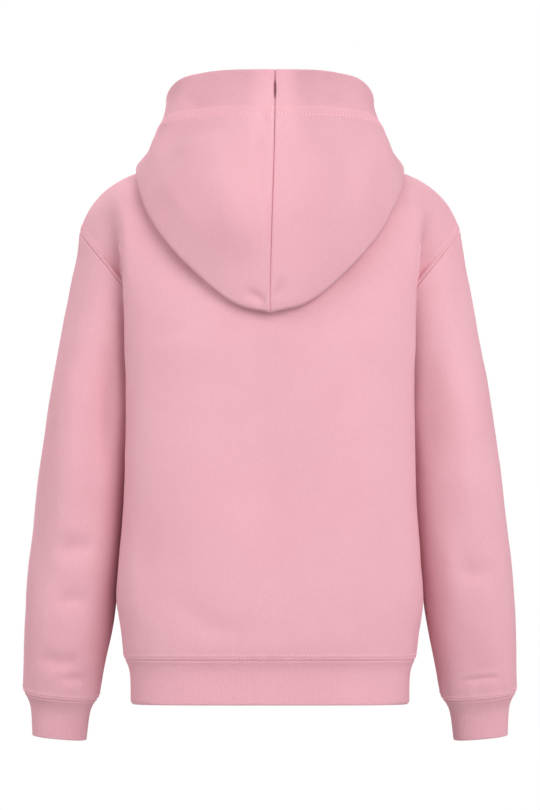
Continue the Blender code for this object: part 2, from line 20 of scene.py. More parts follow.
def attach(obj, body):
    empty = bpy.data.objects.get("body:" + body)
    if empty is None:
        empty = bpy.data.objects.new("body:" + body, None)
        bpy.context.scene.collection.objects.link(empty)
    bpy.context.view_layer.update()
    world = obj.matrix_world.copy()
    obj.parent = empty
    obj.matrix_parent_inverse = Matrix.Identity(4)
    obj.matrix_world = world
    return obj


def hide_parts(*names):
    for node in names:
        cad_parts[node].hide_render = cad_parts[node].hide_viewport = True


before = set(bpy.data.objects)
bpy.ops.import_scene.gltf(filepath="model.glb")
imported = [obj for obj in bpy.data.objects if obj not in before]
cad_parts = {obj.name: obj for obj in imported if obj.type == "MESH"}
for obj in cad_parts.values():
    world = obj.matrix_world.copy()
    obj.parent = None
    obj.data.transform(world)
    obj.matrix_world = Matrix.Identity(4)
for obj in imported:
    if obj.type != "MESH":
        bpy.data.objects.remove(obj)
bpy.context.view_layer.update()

Array = np.ndarray
LOG = logging.getLogger("sweatshirt")
MM = 0.001
MM_PER_METRE = 1000.0
# How many samples a grid line, a form's curve, a crease's path and a band's ring are measured at
LINE_SAMPLES = 6000
CURVE_SAMPLES = 1200
PATH_SAMPLES = 120
RING_SAMPLES = 2400
# Doubled points of a closed piece lie within this many metres
WELD = 0.00002


class Facing(Enum):
    """Which way a body panel or a crease faces along Y."""

    BACK = 1
    FRONT = -1


class Hand(Enum):
    """The wearer's side of a paired piece."""

    LEFT = 1
    RIGHT = -1


class Edge(Enum):
    """An edge of a cloth grid."""

    BOTTOM = "first row"
    TOP = "last row"
    START = "first column"
    END = "last column"


# Curves and tables


def smooth_step(value: Array, start: float, end: float) -> Array:
    """0 before start, 1 after end, and a soft rise between.

    Args:
        value: where to read it.
        start: the value at which it leaves 0.
        end: the value at which it reaches 1.

    Returns:
        The share, from 0 to 1.
    """
    share = np.clip((np.asarray(value, float) - start) / (end - start), 0.0, 1.0)
    return share * share * (3.0 - 2.0 * share)


def hermite(start: Array, leave: Array, end: Array, arrive: Array, share: Array) -> Array:
    """Place on a cubic.

    Args:
        start: where it starts.
        leave: its slope there.
        end: where it ends.
        arrive: its slope there.
        share: how far along, from 0 to 1.

    Returns:
        The place.
    """
    square = share * share
    cube = square * share
    return (
        start * (2.0 * cube - 3.0 * square + 1.0)
        + leave * (cube - 2.0 * square + share)
        + end * (3.0 * square - 2.0 * cube)
        + arrive * (cube - square)
    )


def vec(x: Array, y: Array, z: Array) -> Array:
    """Points from their coordinates."""
    return np.stack(np.broadcast_arrays(x, y, z), axis=-1).astype(float)


def unit(vectors: Array) -> Array:
    """The vectors at length 1."""
    return vectors / np.maximum(np.linalg.norm(vectors, axis=-1, keepdims=True), 1e-9)


def mirrored(points: Array) -> Array:
    """The points' twins on the wearer's other side."""
    return points * np.array((-1.0, 1.0, 1.0))


def run_along(points: Array, axis: int = 0) -> Array:
    """Distance run along rows or columns of points, from 0 at the first."""
    steps = np.linalg.norm(np.diff(points, axis=axis), axis=-1)
    run = np.cumsum(steps, axis=axis)
    return np.insert(run, 0, 0.0, axis=axis)


def read_along(points: Array, run: Array, marks: Array) -> Array:
    """A line's points, or its directions, at marks along its run."""
    return np.stack([np.interp(marks, run, points[:, axis]) for axis in range(3)], axis=-1)


@dataclass(frozen=True)
class Table:
    """Rows of sizes by their first column, each other column joined by a smooth cubic."""

    rows: tuple[tuple[float, ...], ...]

    def ends(self) -> tuple[float, float]:
        """The keys of the first and last rows."""
        return self.rows[0][0], self.rows[-1][0]

    def at(self, key: Array) -> Array:
        """Sizes at a key.

        Args:
            key: values of the first column, between its rows.

        Returns:
            All columns at each key, along a new last axis.
        """
        table = np.array(self.rows)
        if table[0, 0] > table[-1, 0]:
            table = table[::-1]
        keys = table[:, 0]
        slopes = np.empty_like(table)
        slopes[1:-1] = (table[2:] - table[:-2]) / (keys[2:] - keys[:-2])[:, None]
        slopes[0] = (table[1] - table[0]) / (keys[1] - keys[0])
        slopes[-1] = (table[-1] - table[-2]) / (keys[-1] - keys[-2])
        key = np.clip(np.asarray(key, float), keys[0], keys[-1])
        low = np.clip(np.searchsorted(keys, key, side="right") - 1, 0, len(keys) - 2)
        span = (keys[low + 1] - keys[low])[..., None]
        share = (key - keys[low])[..., None] / span
        return hermite(table[low], slopes[low] * span, table[low + 1], slopes[low + 1] * span, share)


@dataclass(frozen=True)
class Zone:
    """A stretch of a line with finer grid steps, between two distances from one of its ends."""

    near: float
    far: float
    step: float
    from_end: bool = False


def steps_along(length: float, coarse: float, zones: Sequence[Zone]) -> Array:
    """Distances along a line at which the cloth gets its grid lines.

    Args:
        length: the line's length.
        coarse: the usual step.
        zones: the finer stretches.

    Returns:
        Rising distances from 0 to length.
    """
    fine = np.linspace(0.0, length, LINE_SAMPLES)
    size = np.full_like(fine, coarse)
    for zone in zones:
        run = length - fine if zone.from_end else fine
        inside = (run >= zone.near) & (run <= zone.far)
        size = np.where(inside, np.minimum(size, zone.step), size)
    count = np.insert(np.cumsum(np.diff(fine) * 2.0 / (size[1:] + size[:-1])), 0, 0.0)
    return np.interp(np.linspace(0.0, count[-1], math.ceil(count[-1]) + 1), count, fine)


def spaced(curve: Callable[[Array], Array], start: float, end: float,
           coarse: float, zones: Sequence[Zone] = ()) -> Array:
    """Values of a curve's parameter at measured steps along it.

    Args:
        curve: gives points at values of the parameter.
        start: the parameter's first value.
        end: its last value.
        coarse: the usual step.
        zones: the finer stretches.

    Returns:
        The parameter's values, from start to end.
    """
    fine = np.linspace(start, end, CURVE_SAMPLES)
    run = run_along(curve(fine))
    return np.interp(steps_along(run[-1], coarse, zones), run, fine)


# The garment's form: that of its solids, with seams, cuffs and hood edges a few millimetres truer


@dataclass(frozen=True)
class BodyForm:
    """The body tube, its yoke, and the seams that end it."""

    corner_power: float = 3.4
    press_spread: float = 44.0
    waist_z: float = -523.8
    underarm_z: float = -196.0
    neck_half_width: float = 73.5
    neck_back: float = 52.0
    neck_front: float = 76.0
    neck_back_drop: float = 14.0
    neck_front_drop: float = 58.0
    neck_share: float = 0.4
    shoulder: tuple[tuple[float, float, float], ...] = (
        (73.5, 0.0, 0.0), (131.9, 0.0, -7.6), (184.5, 0.0, -20.6), (199.0, 0.0, -75.1)
    )
    # height, half width, depth back and front, hollow by the sleeve and its middle
    levels: Table = Table((
        (-523.8, 151.0, 94.0, 99.0, 0.0, -20.0),
        (-514.0, 153.4, 97.5, 103.0, 0.0, -19.0),
        (-499.0, 154.8, 100.0, 106.0, 0.0, -18.0),
        (-463.0, 161.0, 102.5, 109.0, 3.0, -16.0),
        (-420.0, 160.0, 103.0, 110.0, 8.0, -11.0),
        (-342.0, 156.8, 103.5, 111.0, 12.0, -6.0),
        (-300.0, 156.2, 104.0, 111.5, 16.0, -5.0),
        (-250.0, 156.2, 105.0, 112.0, 23.0, -4.0),
        (-222.0, 157.0, 105.6, 112.0, 30.5, -2.0),
        (-196.0, 159.0, 106.0, 112.0, 31.0, 0.0),
    ))
    band_levels: Table = Table((
        (-523.8, 151.0, 94.0, 99.0, 0.0, 0.0),
        (-532.0, 147.2, 91.0, 95.5, 0.0, 0.0),
        (-543.0, 145.4, 89.8, 94.2, 0.0, 0.0),
        (-571.0, 145.0, 89.5, 94.0, 0.0, 0.0),
    ))
    # share across, then how the yoke leaves the underarm level and arrives at the top
    yoke_back: Table = Table((
        (0.0, 0.0, 0.0, 200.0, 0.0, -110.0, 110.0),
        (0.4, 0.0, 0.0, 235.0, -10.0, -195.0, 60.0),
        (0.72, 5.0, 5.0, 245.0, 20.0, -235.0, 30.0),
        (0.88, -10.0, 90.0, 190.0, 50.0, -225.0, 80.0),
        (1.0, -15.0, 175.0, 125.0, 62.0, -190.0, 105.0),
    ))
    yoke_front: Table = Table((
        (0.0, 0.0, 0.0, 150.0, 0.0, 60.0, 110.0),
        (0.4, 0.0, 0.0, 225.0, -10.0, 185.0, 60.0),
        (0.72, 5.0, -5.0, 240.0, 20.0, 235.0, 30.0),
        (0.88, -10.0, -90.0, 190.0, 50.0, 225.0, 80.0),
        (1.0, -15.0, -175.0, 125.0, 62.0, 190.0, 105.0),
    ))
    # height share, place across, depth of the valley, height of the edge, width
    side_folds: Table = Table((
        (0.60, 0.86, 0.0, 0.0, 0.060),
        (1.00, 0.90, 0.0, 0.0, 0.050),
        (1.25, 0.90, 1.0, 1.0, 0.070),
        (1.45, 0.89, 1.5, 2.0, 0.075),
        (1.60, 0.88, 2.5, 2.0, 0.075),
        (1.75, 0.86, 2.0, 1.0, 0.075),
        (1.88, 0.84, 0.0, 0.0, 0.070),
        (2.00, 0.84, 0.0, 0.0, 0.070),
    ))
    fold_lean: tuple[float, float] = (0.45, 0.89)
    fold_free_edge: float = 0.03

    def ring(self, levels: Table, z: Array, turn: Array) -> Array:
        """Points of a body ring.

        Args:
            levels: the table of sections.
            z: heights.
            turn: 0 is centre back, 90 the side, 180 centre front.

        Returns:
            The points.
        """
        sizes = levels.at(z)
        half_width, back, front, press, press_y = (sizes[..., i] for i in range(1, 6))
        sine = np.sin(np.radians(turn))
        cosine = np.cos(np.radians(turn))
        depth = np.where(cosine >= 0.0, back, front)
        inverse = (np.abs(sine) / half_width) ** self.corner_power
        inverse = inverse + (np.abs(cosine) / depth) ** self.corner_power
        radius = inverse ** (-1.0 / self.corner_power)
        x = radius * sine
        y = radius * cosine
        hollow = press * np.exp(-(((y - press_y) / self.press_spread) ** 4))
        return vec(x - np.sign(x) * hollow * (x / half_width) ** 2, y, z)

    def neck(self, turn: Array) -> Array:
        """Points of the neck seam; turn 0 is centre back, 180 centre front."""
        sine = np.sin(np.radians(turn))
        cosine = np.cos(np.radians(turn))
        reach = np.where(cosine >= 0.0, self.neck_back, self.neck_front)
        drop = np.where(cosine >= 0.0, self.neck_back_drop, self.neck_front_drop)
        return vec(self.neck_half_width * sine, reach * cosine, -drop * cosine * cosine)

    def shoulder_line(self, share: Array) -> Array:
        """Points of the shoulder seam, from the neck point (0) to the armhole (1)."""
        share = np.clip(np.asarray(share, float), 0.0, 1.0)[..., None]
        rest = 1.0 - share
        a, b, c, d = (np.array(point) for point in self.shoulder)
        return a * rest**3 + b * 3.0 * rest**2 * share + c * 3.0 * rest * share**2 + d * share**3

    def fold(self, facing: Facing, across: Array, up: Array) -> Array:
        """How far the side fold moves a panel's points.

        Args:
            facing: the panel.
            across: 0 at the centre line, 1 at the side.
            up: 0 at the waist seam, 1 at the underarm, 2 at the top.

        Returns:
            The moves.
        """
        _, place, valley, ridge, width = np.moveaxis(self.side_folds.at(up), -1, 0)
        swell = ridge * np.exp(-(((across - place + 2.0 * width) / width) ** 2))
        swell = swell - valley * np.exp(-(((across - place) / width) ** 2))
        swell = swell * smooth_step(1.0 - across, 0.0, self.fold_free_edge)
        return vec(self.fold_lean[0] * swell, self.fold_lean[1] * swell * facing.value, 0.0 * swell)

    def panel(self, facing: Facing, across: Array, up: Array) -> Array:
        """Points of a panel's left half.

        Args:
            facing: the panel.
            across: 0 at the centre line, 1 at the side seam and armhole.
            up: 0 at the waist seam, 1 at the underarm level, 2 at the neck and shoulder.

        Returns:
            The points.
        """
        across, up = np.broadcast_arrays(np.asarray(across, float), np.asarray(up, float))
        turn = 90.0 * across if facing is Facing.BACK else 180.0 - 90.0 * across
        low = np.minimum(up, 1.0)
        z = self.waist_z + (self.underarm_z - self.waist_z) * low
        body = self.ring(self.levels, z, turn)
        yoke = (self.yoke_back if facing is Facing.BACK else self.yoke_front).at(across)
        neck_turn = 90.0 * np.minimum(across / self.neck_share, 1.0)
        neck = self.neck(neck_turn if facing is Facing.BACK else 180.0 - neck_turn)
        shoulder = self.shoulder_line((across - self.neck_share) / (1.0 - self.neck_share))
        top = np.where((across <= self.neck_share)[..., None], neck, shoulder)
        share = np.maximum(up - 1.0, 0.0)[..., None]
        high = hermite(body, yoke[..., 1:4], top, yoke[..., 4:7], share)
        return np.where((up <= 1.0)[..., None], body, high) + self.fold(facing, across, up)

    def armhole(self, turn: Array) -> Array:
        """Points of the left armhole; turn 0 is the shoulder tip, 180 the underarm, 270 the front."""
        turn = np.asarray(turn, float)
        from_tip = np.where(turn <= 180.0, turn, 360.0 - turn)
        up = 2.0 - from_tip / 180.0
        back = self.panel(Facing.BACK, np.ones_like(up), up)
        front = self.panel(Facing.FRONT, np.ones_like(up), up)
        return np.where((turn <= 180.0)[..., None], back, front)


@dataclass(frozen=True)
class SleeveForm:
    """The left sleeve and its cuff."""

    body: BodyForm = BodyForm()
    # height, centre x and y, half width and depth, tilt outward and lean back of the ring
    levels: Table = Table((
        (-262.0, 186.0, -4.0, 45.5, 52.0, 6.0, 1.0),
        (-340.0, 196.0, -6.0, 46.5, 51.0, 7.0, 3.0),
        (-420.0, 204.5, -11.0, 47.5, 49.0, 7.0, 6.0),
        (-480.0, 211.0, -18.0, 45.8, 46.0, 7.0, 9.0),
        (-530.0, 216.7, -26.0, 42.0, 41.5, 6.0, 10.0),
        (-552.0, 219.0, -30.2, 40.0, 38.5, 5.0, 10.0),
        (-560.8, 219.8, -31.6, 38.0, 35.5, 5.0, 10.0),
    ))
    cuff_levels: Table = Table((
        (-560.8, 219.8, -31.6, 38.0, 35.5, 5.0, 10.0),
        (-568.5, 220.2, -32.6, 33.0, 30.6, 5.0, 9.5),
        (-578.0, 220.5, -34.2, 29.9, 27.2, 5.0, 8.0),
        (-607.0, 221.6, -38.5, 27.2, 24.8, 5.0, 4.0),
    ))
    cap_way: tuple[float, float, float] = (0.12, 0.0, -1.0)
    underarm_way: tuple[float, float, float] = (0.9, 0.0, -0.45)
    cap_leave: float = 150.0
    underarm_leave: float = 60.0
    cap_arrive: float = 132.0
    underarm_arrive: float = 49.5
    flatness: float = 0.82

    @staticmethod
    def ways(tilt: Array, lean: Array) -> tuple[Array, Array]:
        """The outward and backward directions of rings with this tilt and lean."""
        tilt, lean = np.radians(tilt), np.radians(lean)
        return vec(np.cos(tilt), 0.0, np.sin(tilt)), vec(0.0, np.cos(lean), -np.sin(lean))

    def ring(self, levels: Table, z: Array, turn: Array) -> Array:
        """Points of sleeve or cuff rings.

        Args:
            levels: the table of rings.
            z: the rings' heights.
            turn: 0 is outermost, 90 the back, 180 against the body.

        Returns:
            The points.
        """
        z, turn = np.broadcast_arrays(np.asarray(z, float), np.asarray(turn, float))
        sizes = levels.at(z)
        height, x, y, half_width, half_depth, tilt, lean = np.moveaxis(sizes, -1, 0)
        outward, backward = self.ways(tilt, lean)
        cosine, sine = np.cos(np.radians(turn)), np.sin(np.radians(turn))
        wide = (half_width * np.sign(cosine) * np.abs(cosine) ** self.flatness)[..., None]
        deep = (half_depth * np.sign(sine) * np.abs(sine) ** self.flatness)[..., None]
        return vec(x, y, height) + outward * wide + backward * deep

    def point(self, turn: Array, along: Array) -> Array:
        """Points of the left sleeve.

        Args:
            turn: 0 is outermost, 90 the back, 180 against the body.
            along: 0 at the armhole, 1 at the first whole ring, 2 at the cuff seam.

        Returns:
            The points.
        """
        turn, along = np.broadcast_arrays(np.asarray(turn, float), np.asarray(along, float))
        first, last = self.levels.ends()
        low = self.ring(self.levels, first + (last - first) * np.maximum(along - 1.0, 0.0), turn)
        start = self.ring(self.levels, np.full_like(turn, first), turn)
        outer = (0.5 + 0.5 * np.cos(np.radians(turn)))[..., None]
        inner = 1.0 - outer
        way = unit(np.array(self.cap_way) * outer + np.array(self.underarm_way) * inner)
        leave = way * (self.cap_leave * outer + self.underarm_leave * inner)
        outward, backward = self.ways(*self.levels.rows[0][5:7])
        axis = unit(np.cross(outward, backward))
        arrive = -axis * (self.cap_arrive * outer + self.underarm_arrive * inner)
        share = np.minimum(along, 1.0)[..., None]
        high = hermite(self.body.armhole(turn), leave, start, arrive, share)
        return np.where((along >= 1.0)[..., None], low, high)


@dataclass(frozen=True)
class HoodForm:
    """The hood, folded down behind the neck."""

    body: BodyForm = BodyForm()
    # turn, stand, under r z, fold x y z, middle r z, edge r z
    lines: Table = Table((
        (0.0, 90.0, 92.0, -62.0, 0.0, 116.0, -161.5, 121.0, -45.0, 57.0, 92.6),
        (20.0, 85.0, 95.0, -57.0, 41.0, 113.0, -149.3, 123.0, -42.0, 61.0, 92.4),
        (40.0, 75.0, 100.0, -40.0, 88.0, 104.0, -108.5, 129.0, -27.0, 72.0, 91.8),
        (55.0, 65.0, 107.0, -21.0, 118.0, 86.0, -72.0, 133.0, -10.0, 84.0, 89.3),
        (70.0, 55.0, 110.0, -3.0, 134.5, 58.0, -36.0, 133.0, 10.0, 98.5, 83.4),
        (85.0, 50.0, 108.0, 8.0, 139.5, 18.0, -10.0, 122.0, 19.0, 106.5, 70.8),
        (100.0, 45.0, 104.0, 5.0, 132.0, -20.0, -10.0, 121.0, 16.0, 109.5, 54.0),
        (120.0, 35.0, 96.0, -12.0, 103.0, -60.0, -22.0, 119.0, -2.0, 111.0, 27.0),
        (145.0, 18.0, 84.0, -35.0, 56.0, -80.0, -33.0, 104.0, -23.0, 104.0, -4.0),
        (165.0, 8.0, 80.0, -47.0, 22.0, -82.0, -40.0, 89.5, -33.0, 94.0, -26.0),
        (180.0, 6.0, 79.0, -52.5, 0.0, -82.0, -47.3, 85.0, -42.0, 88.0, -37.0),
    ))
    lap_length: float = 24.0
    lap_slope: float = 0.6
    lap_lift: float = 3.9
    lift_turns: tuple[float, float] = (148.0, 170.0)
    lap_drop: float = 2.4
    drop_turns: tuple[float, float] = (159.0, 166.0)
    lap_raise: float = 0.03
    raise_turns: tuple[float, float] = (152.0, 162.0)
    stand_flare: float = 3.5
    past_front: float = 12.857
    edge_lean: float = -0.1
    face_edge: float = 4.0

    @staticmethod
    def outward(turn: Array) -> Array:
        """The level direction away from the neck; turn 0 is straight back."""
        return vec(np.sin(np.radians(turn)), np.cos(np.radians(turn)), 0.0)

    def section(self, turn: Array, out: Array) -> Array:
        """Points of the hood at turns up to 180.

        Args:
            turn: 0 is centre back, 180 centre front.
            out: 0 at the neck seam, 2 at the fold, 4 at the face edge.

        Returns:
            The points.
        """
        turn, out = np.broadcast_arrays(np.asarray(turn, float), np.asarray(out, float))
        sizes = self.lines.at(turn)
        outward = self.outward(turn)
        up = np.array((0.0, 0.0, 1.0))

        def off_axis(radius: int, height: int) -> Array:
            """The knot whose distance from the axis and height stand in these columns."""
            return outward * sizes[..., radius:radius + 1] + up * sizes[..., height:height + 1]

        knots = [self.body.neck(turn), off_axis(2, 3), sizes[..., 4:7], off_axis(7, 8), off_axis(9, 10)]
        last = len(knots) - 1
        slopes = [(knots[min(i + 1, last)] - knots[max(i - 1, 0)]) * 0.5 for i in range(last + 1)]
        slopes[0] = outward * self.stand_flare + up * sizes[..., 1:2]
        slopes[last] = (knots[last] - knots[last - 1]) * np.array((self.edge_lean, self.edge_lean, 1.0))
        index = np.clip(out.astype(int), 0, last - 1)
        share = (out - index)[..., None]
        places = np.zeros(out.shape + (3,))
        for i in range(last):
            piece = hermite(knots[i], slopes[i], knots[i + 1], slopes[i + 1], share)
            places = np.where((index == i)[..., None], piece, places)
        return places

    def point(self, turn: Array, out: Array, lap: float) -> Array:
        """Points of a hood half, whose front edge runs on past centre front.

        Args:
            turn: 0 is centre back, 180 centre front.
            out: 0 at the neck seam, 4 at the face edge.
            lap: 1 for the half that crosses outside the other, 0 for the other.

        Returns:
            The points, for a left half.
        """
        turn, out = np.broadcast_arrays(np.asarray(turn, float), np.asarray(out, float))
        past = np.maximum(0.0, turn - 180.0)
        near_turn = np.where(past > 0.0, 180.0 - past, turn)
        reach = (self.lap_length - self.lap_slope * past) / (self.lap_length + self.lap_slope * past)
        lift = lap * self.lap_lift * smooth_step(turn, *self.lift_turns)
        start = lap * self.lap_raise * smooth_step(turn, *self.raise_turns)
        out = start + (self.face_edge * reach - start) * out / self.face_edge
        place = self.section(near_turn, out) + self.outward(near_turn) * lift[..., None]
        drop = lap * self.lap_drop * smooth_step(turn, *self.drop_turns)
        drop = drop * (1.0 - smooth_step(out, 0.0, 1.0))
        place = place - vec(0.0, 0.0, 1.0) * drop[..., None]
        return np.where((past > 0.0)[..., None], mirrored(place), place)


# Creases and unevenness


@dataclass(frozen=True)
class Crease:
    """A soft trough, or with a negative depth a ridge, along a path seen from the back or front.

    The path is of x and z. outer is the width on the side away from x 0, and inner the width on
    the other side, which softens where the crease fades at its ends. A level crease is pressed
    straight toward the other panel and falls away steeply outside.
    """

    path: tuple[tuple[float, float], ...]
    depth: float
    outer: float
    inner: float
    fade: tuple[float, float] = (0.4, 0.4)
    level: bool = False
    softening: float = 0.35
    round_power: float = 2.0
    steep_power: float = 1.25

    def press(self, places: Array) -> Array:
        """How far the crease presses points in.

        Args:
            places: x and z of the points, in mm.

        Returns:
            The depth at each point.
        """
        knots = np.array(self.path)
        share = np.linspace(0.0, 1.0, len(knots))
        fine = np.linspace(0.0, 1.0, PATH_SAMPLES)
        line = Table(tuple((s, *knot) for s, knot in zip(share, knots))).at(fine)[..., 1:]
        flat = places.reshape(-1, 2)
        gaps = flat[:, None, :] - line[None, :, :]
        far = np.einsum("ijk,ijk->ij", gaps, gaps)
        near = np.argmin(far, axis=1)
        every = np.arange(len(flat))
        distance = np.sqrt(far[every, near])
        outside = gaps[every, near, 0] * np.where(line[near, 0] >= 0.0, 1.0, -1.0) > 0.0
        along = fine[near]
        strength = smooth_step(along, 0.0, self.fade[0]) * smooth_step(1.0 - along, 0.0, self.fade[1])
        soft = self.inner + max(0.0, self.outer - self.inner) * self.softening * (1.0 - strength)
        width = np.where(outside, self.outer, soft)
        power = np.where(outside & self.level, self.steep_power, self.round_power)
        press = self.depth * np.exp(-((distance / width) ** power)) * strength
        return press.reshape(places.shape[:-1])


def uneven(points: Array, swell: tuple[float, float], seed: float) -> Array:
    """Smooth unevenness of hanging cloth.

    Args:
        points: the points, in mm.
        swell: the usual distance between swells, and their usual height.
        seed: which pattern.

    Returns:
        The height at each point.
    """
    size, amount = swell
    flat = points.reshape(-1, 3) / size + seed
    heights = [noise.noise(Vector(place)) for place in flat]
    return np.array(heights).reshape(points.shape[:-1]) * amount


# Cloth


@dataclass(frozen=True)
class CoverStitch:
    """A topstitched band: its rows' distances from the edge, its swell and each row's groove."""

    rows: tuple[float, float] = (2.1, 5.8)
    swell: float = 0.6
    groove: float = 0.28
    groove_width: float = 0.8
    ease: float = 2.5
    beside_seam: bool = True
    lift: float = 0.15
    seam_thread: tuple[float, float] = (0.2, 0.25)

    def height(self, distance: Array) -> Array:
        """The band's height at a distance from the edge."""
        low, high = self.rows
        start = 0.0 if self.beside_seam else low - self.ease
        band = smooth_step(distance, start, low) * (1.0 - smooth_step(distance, high, high + self.ease))
        press = sum(np.exp(-(((distance - row) / self.groove_width) ** 2)) for row in self.rows)
        return self.swell * band - self.groove * press

    def lines(self, cloth: "Cloth", edge: Edge, thickness: float) -> list[tuple[Array, Array]]:
        """The rows along an edge of a piece of this thickness."""
        return [cloth.line(edge, row, thickness / 2.0 + self.lift) for row in self.rows]

    def seam_lines(self, cloth: "Cloth", thickness: float) -> list[tuple[Array, Array]]:
        """The rows above a piece's lower seam, and the thread that shows in that seam."""
        return [*self.lines(cloth, Edge.BOTTOM, thickness), cloth.line(Edge.BOTTOM, *self.seam_thread)]


class Cloth:
    """A grid of points on the middle of one cut piece that becomes a thin shell.

    Rows run upward and columns anticlockwise seen from above, so that the face points outward.
    """

    # How squarely the cloth faces a side before creases press it: at first, and wholly
    FACING_CREASE = (-0.1, 0.45)
    FACING_LEVEL = (-0.2, 0.2)
    # Distance from the piece's edges within which creases die out, and level ones
    SEAM_REST = 9.0
    LEVEL_REST = 6.3

    def __init__(self, points: Array, closed: bool = False) -> None:
        """Measures the piece.

        Args:
            points: rows by columns of points in mm.
            closed: whether the last column lies on the first.
        """
        self.points = points
        self.closed = closed
        across = run_along(points, 1)
        middle = across[:, across.shape[1] // 2][:, None]
        self.flat = np.stack((across - middle, run_along(points, 0)), axis=-1)
        self.normals = self.find_normals()
        self.from_edge = {edge: self.edge_distance(edge) for edge in Edge}

    def find_normals(self) -> Array:
        """The outward directions at the points."""
        along = np.gradient(self.points, axis=1)
        if self.closed:
            wrap = self.points[:, 1] - self.points[:, -2]
            along[:, 0] = wrap
            along[:, -1] = wrap
        return unit(np.cross(along, np.gradient(self.points, axis=0)))

    def edge_frame(self, edge: Edge) -> tuple[Array, Array, Array]:
        """An edge's own points, the way from each into the piece, and the way along the edge."""
        points = self.points
        line, inside = {
            Edge.BOTTOM: (points[0], points[1]),
            Edge.TOP: (points[-1], points[-2]),
            Edge.START: (points[:, 0], points[:, 1]),
            Edge.END: (points[:, -1], points[:, -2]),
        }[edge]
        along = unit(np.gradient(line, axis=0))
        return line, unit(inside - line), along

    def edge_distance(self, edge: Edge) -> Array:
        """Distance of every point from an edge, square to that edge."""
        _, inward, along = self.edge_frame(edge)
        square = np.linalg.norm(inward - along * np.sum(inward * along, -1, keepdims=True), axis=-1)
        axis = 0 if edge in (Edge.BOTTOM, Edge.TOP) else 1
        run = run_along(self.points, axis)
        if edge is Edge.TOP:
            run = run[-1:] - run
        if edge is Edge.END:
            run = run[:, -1:] - run
        return run * (square[None, :] if axis == 0 else square[:, None])

    def push(self, amount: Array) -> None:
        """Moves the points outward by these amounts."""
        self.points = self.points + self.normals * amount[..., None]

    def nearest_edge(self) -> Array:
        """Distance of every point from the nearest edge that is sewn or hemmed."""
        edges = (Edge.BOTTOM, Edge.TOP) if self.closed else tuple(Edge)
        return np.minimum.reduce([self.from_edge[edge] for edge in edges])

    def flat_area(self) -> float:
        """The area of the cloth laid flat, in square metres."""
        points = self.points
        diagonals = np.cross(points[1:, 1:] - points[:-1, :-1], points[1:, :-1] - points[:-1, 1:])
        return float(np.linalg.norm(diagonals, axis=-1).sum() / 2.0 * MM * MM)

    def crease(self, creases: Sequence[Crease], facing: Facing) -> None:
        """Presses creases into the side of the piece that faces one way.

        Args:
            creases: the creases, on x and z.
            facing: the side.
        """
        places = self.points[..., [0, 2]]
        outward = self.normals[..., 1] * facing.value
        near = self.nearest_edge()
        total = np.zeros(places.shape[:-1])
        level = np.zeros(places.shape[:-1])
        for one in creases:
            if one.level:
                level = np.maximum(level, one.press(places))
            else:
                total = total + one.press(places)
        toward = smooth_step(outward, *self.FACING_CREASE)
        self.push(-total * toward * smooth_step(near, 0.0, self.SEAM_REST))
        level = level * smooth_step(outward, *self.FACING_LEVEL) * smooth_step(near, 0.0, self.LEVEL_REST)
        self.points = self.points - vec(0.0, level * facing.value, 0.0)

    def unsettle(self, pattern: Array, swell: tuple[float, float], seed: float, rest: float) -> None:
        """Adds the unevenness of hanging cloth, which dies out toward the edges.

        Args:
            pattern: the points at which the pattern is read.
            swell: the usual distance between swells, and their usual height.
            seed: which pattern.
            rest: the distance from the edges at which it is whole.
        """
        self.push(smooth_step(self.nearest_edge(), 0.0, rest) * uneven(pattern, swell, seed))

    def roll(self, edge: Edge, radius: float) -> None:
        """Rolls an edge inward, as a seam turns it.

        Args:
            edge: the edge.
            radius: the roll's radius.
        """
        _, inward, along = self.edge_frame(edge)
        inward = unit(inward - along * np.sum(inward * along, -1, keepdims=True))
        inward = inward[None, :] if edge in (Edge.BOTTOM, Edge.TOP) else inward[:, None]
        distance = self.from_edge[edge]
        arc = radius * math.pi / 2.0
        angle = np.clip((arc - distance) / radius, 0.0, math.pi / 2.0)
        near = distance < arc
        shift = np.where(near, arc - radius * np.sin(angle) - distance, 0.0)
        depth = np.where(near, radius * (1.0 - np.cos(angle)), 0.0)
        self.points = self.points + inward * shift[..., None] - self.normals * depth[..., None]

    def line(self, edge: Edge, distance: float, proud: float) -> tuple[Array, Array]:
        """The line at a distance inside an edge.

        Args:
            edge: the edge.
            distance: how far inside.
            proud: how far outside the middle of the cloth.

        Returns:
            Its points and the outward directions there.
        """
        normals = self.find_normals()
        points = self.points + normals * proud
        run = self.from_edge[edge]
        if edge in (Edge.BOTTOM, Edge.TOP):
            points, normals, run = (np.swapaxes(a, 0, 1) for a in (points, normals, run))
        order = slice(None, None, -1) if edge in (Edge.TOP, Edge.END) else slice(None)
        places, ways = [], []
        for row, way, far in zip(points, normals, run):
            places.append(read_along(row[order], far[order], distance))
            ways.append(read_along(way[order], far[order], distance))
        return np.array(places), unit(np.array(ways))

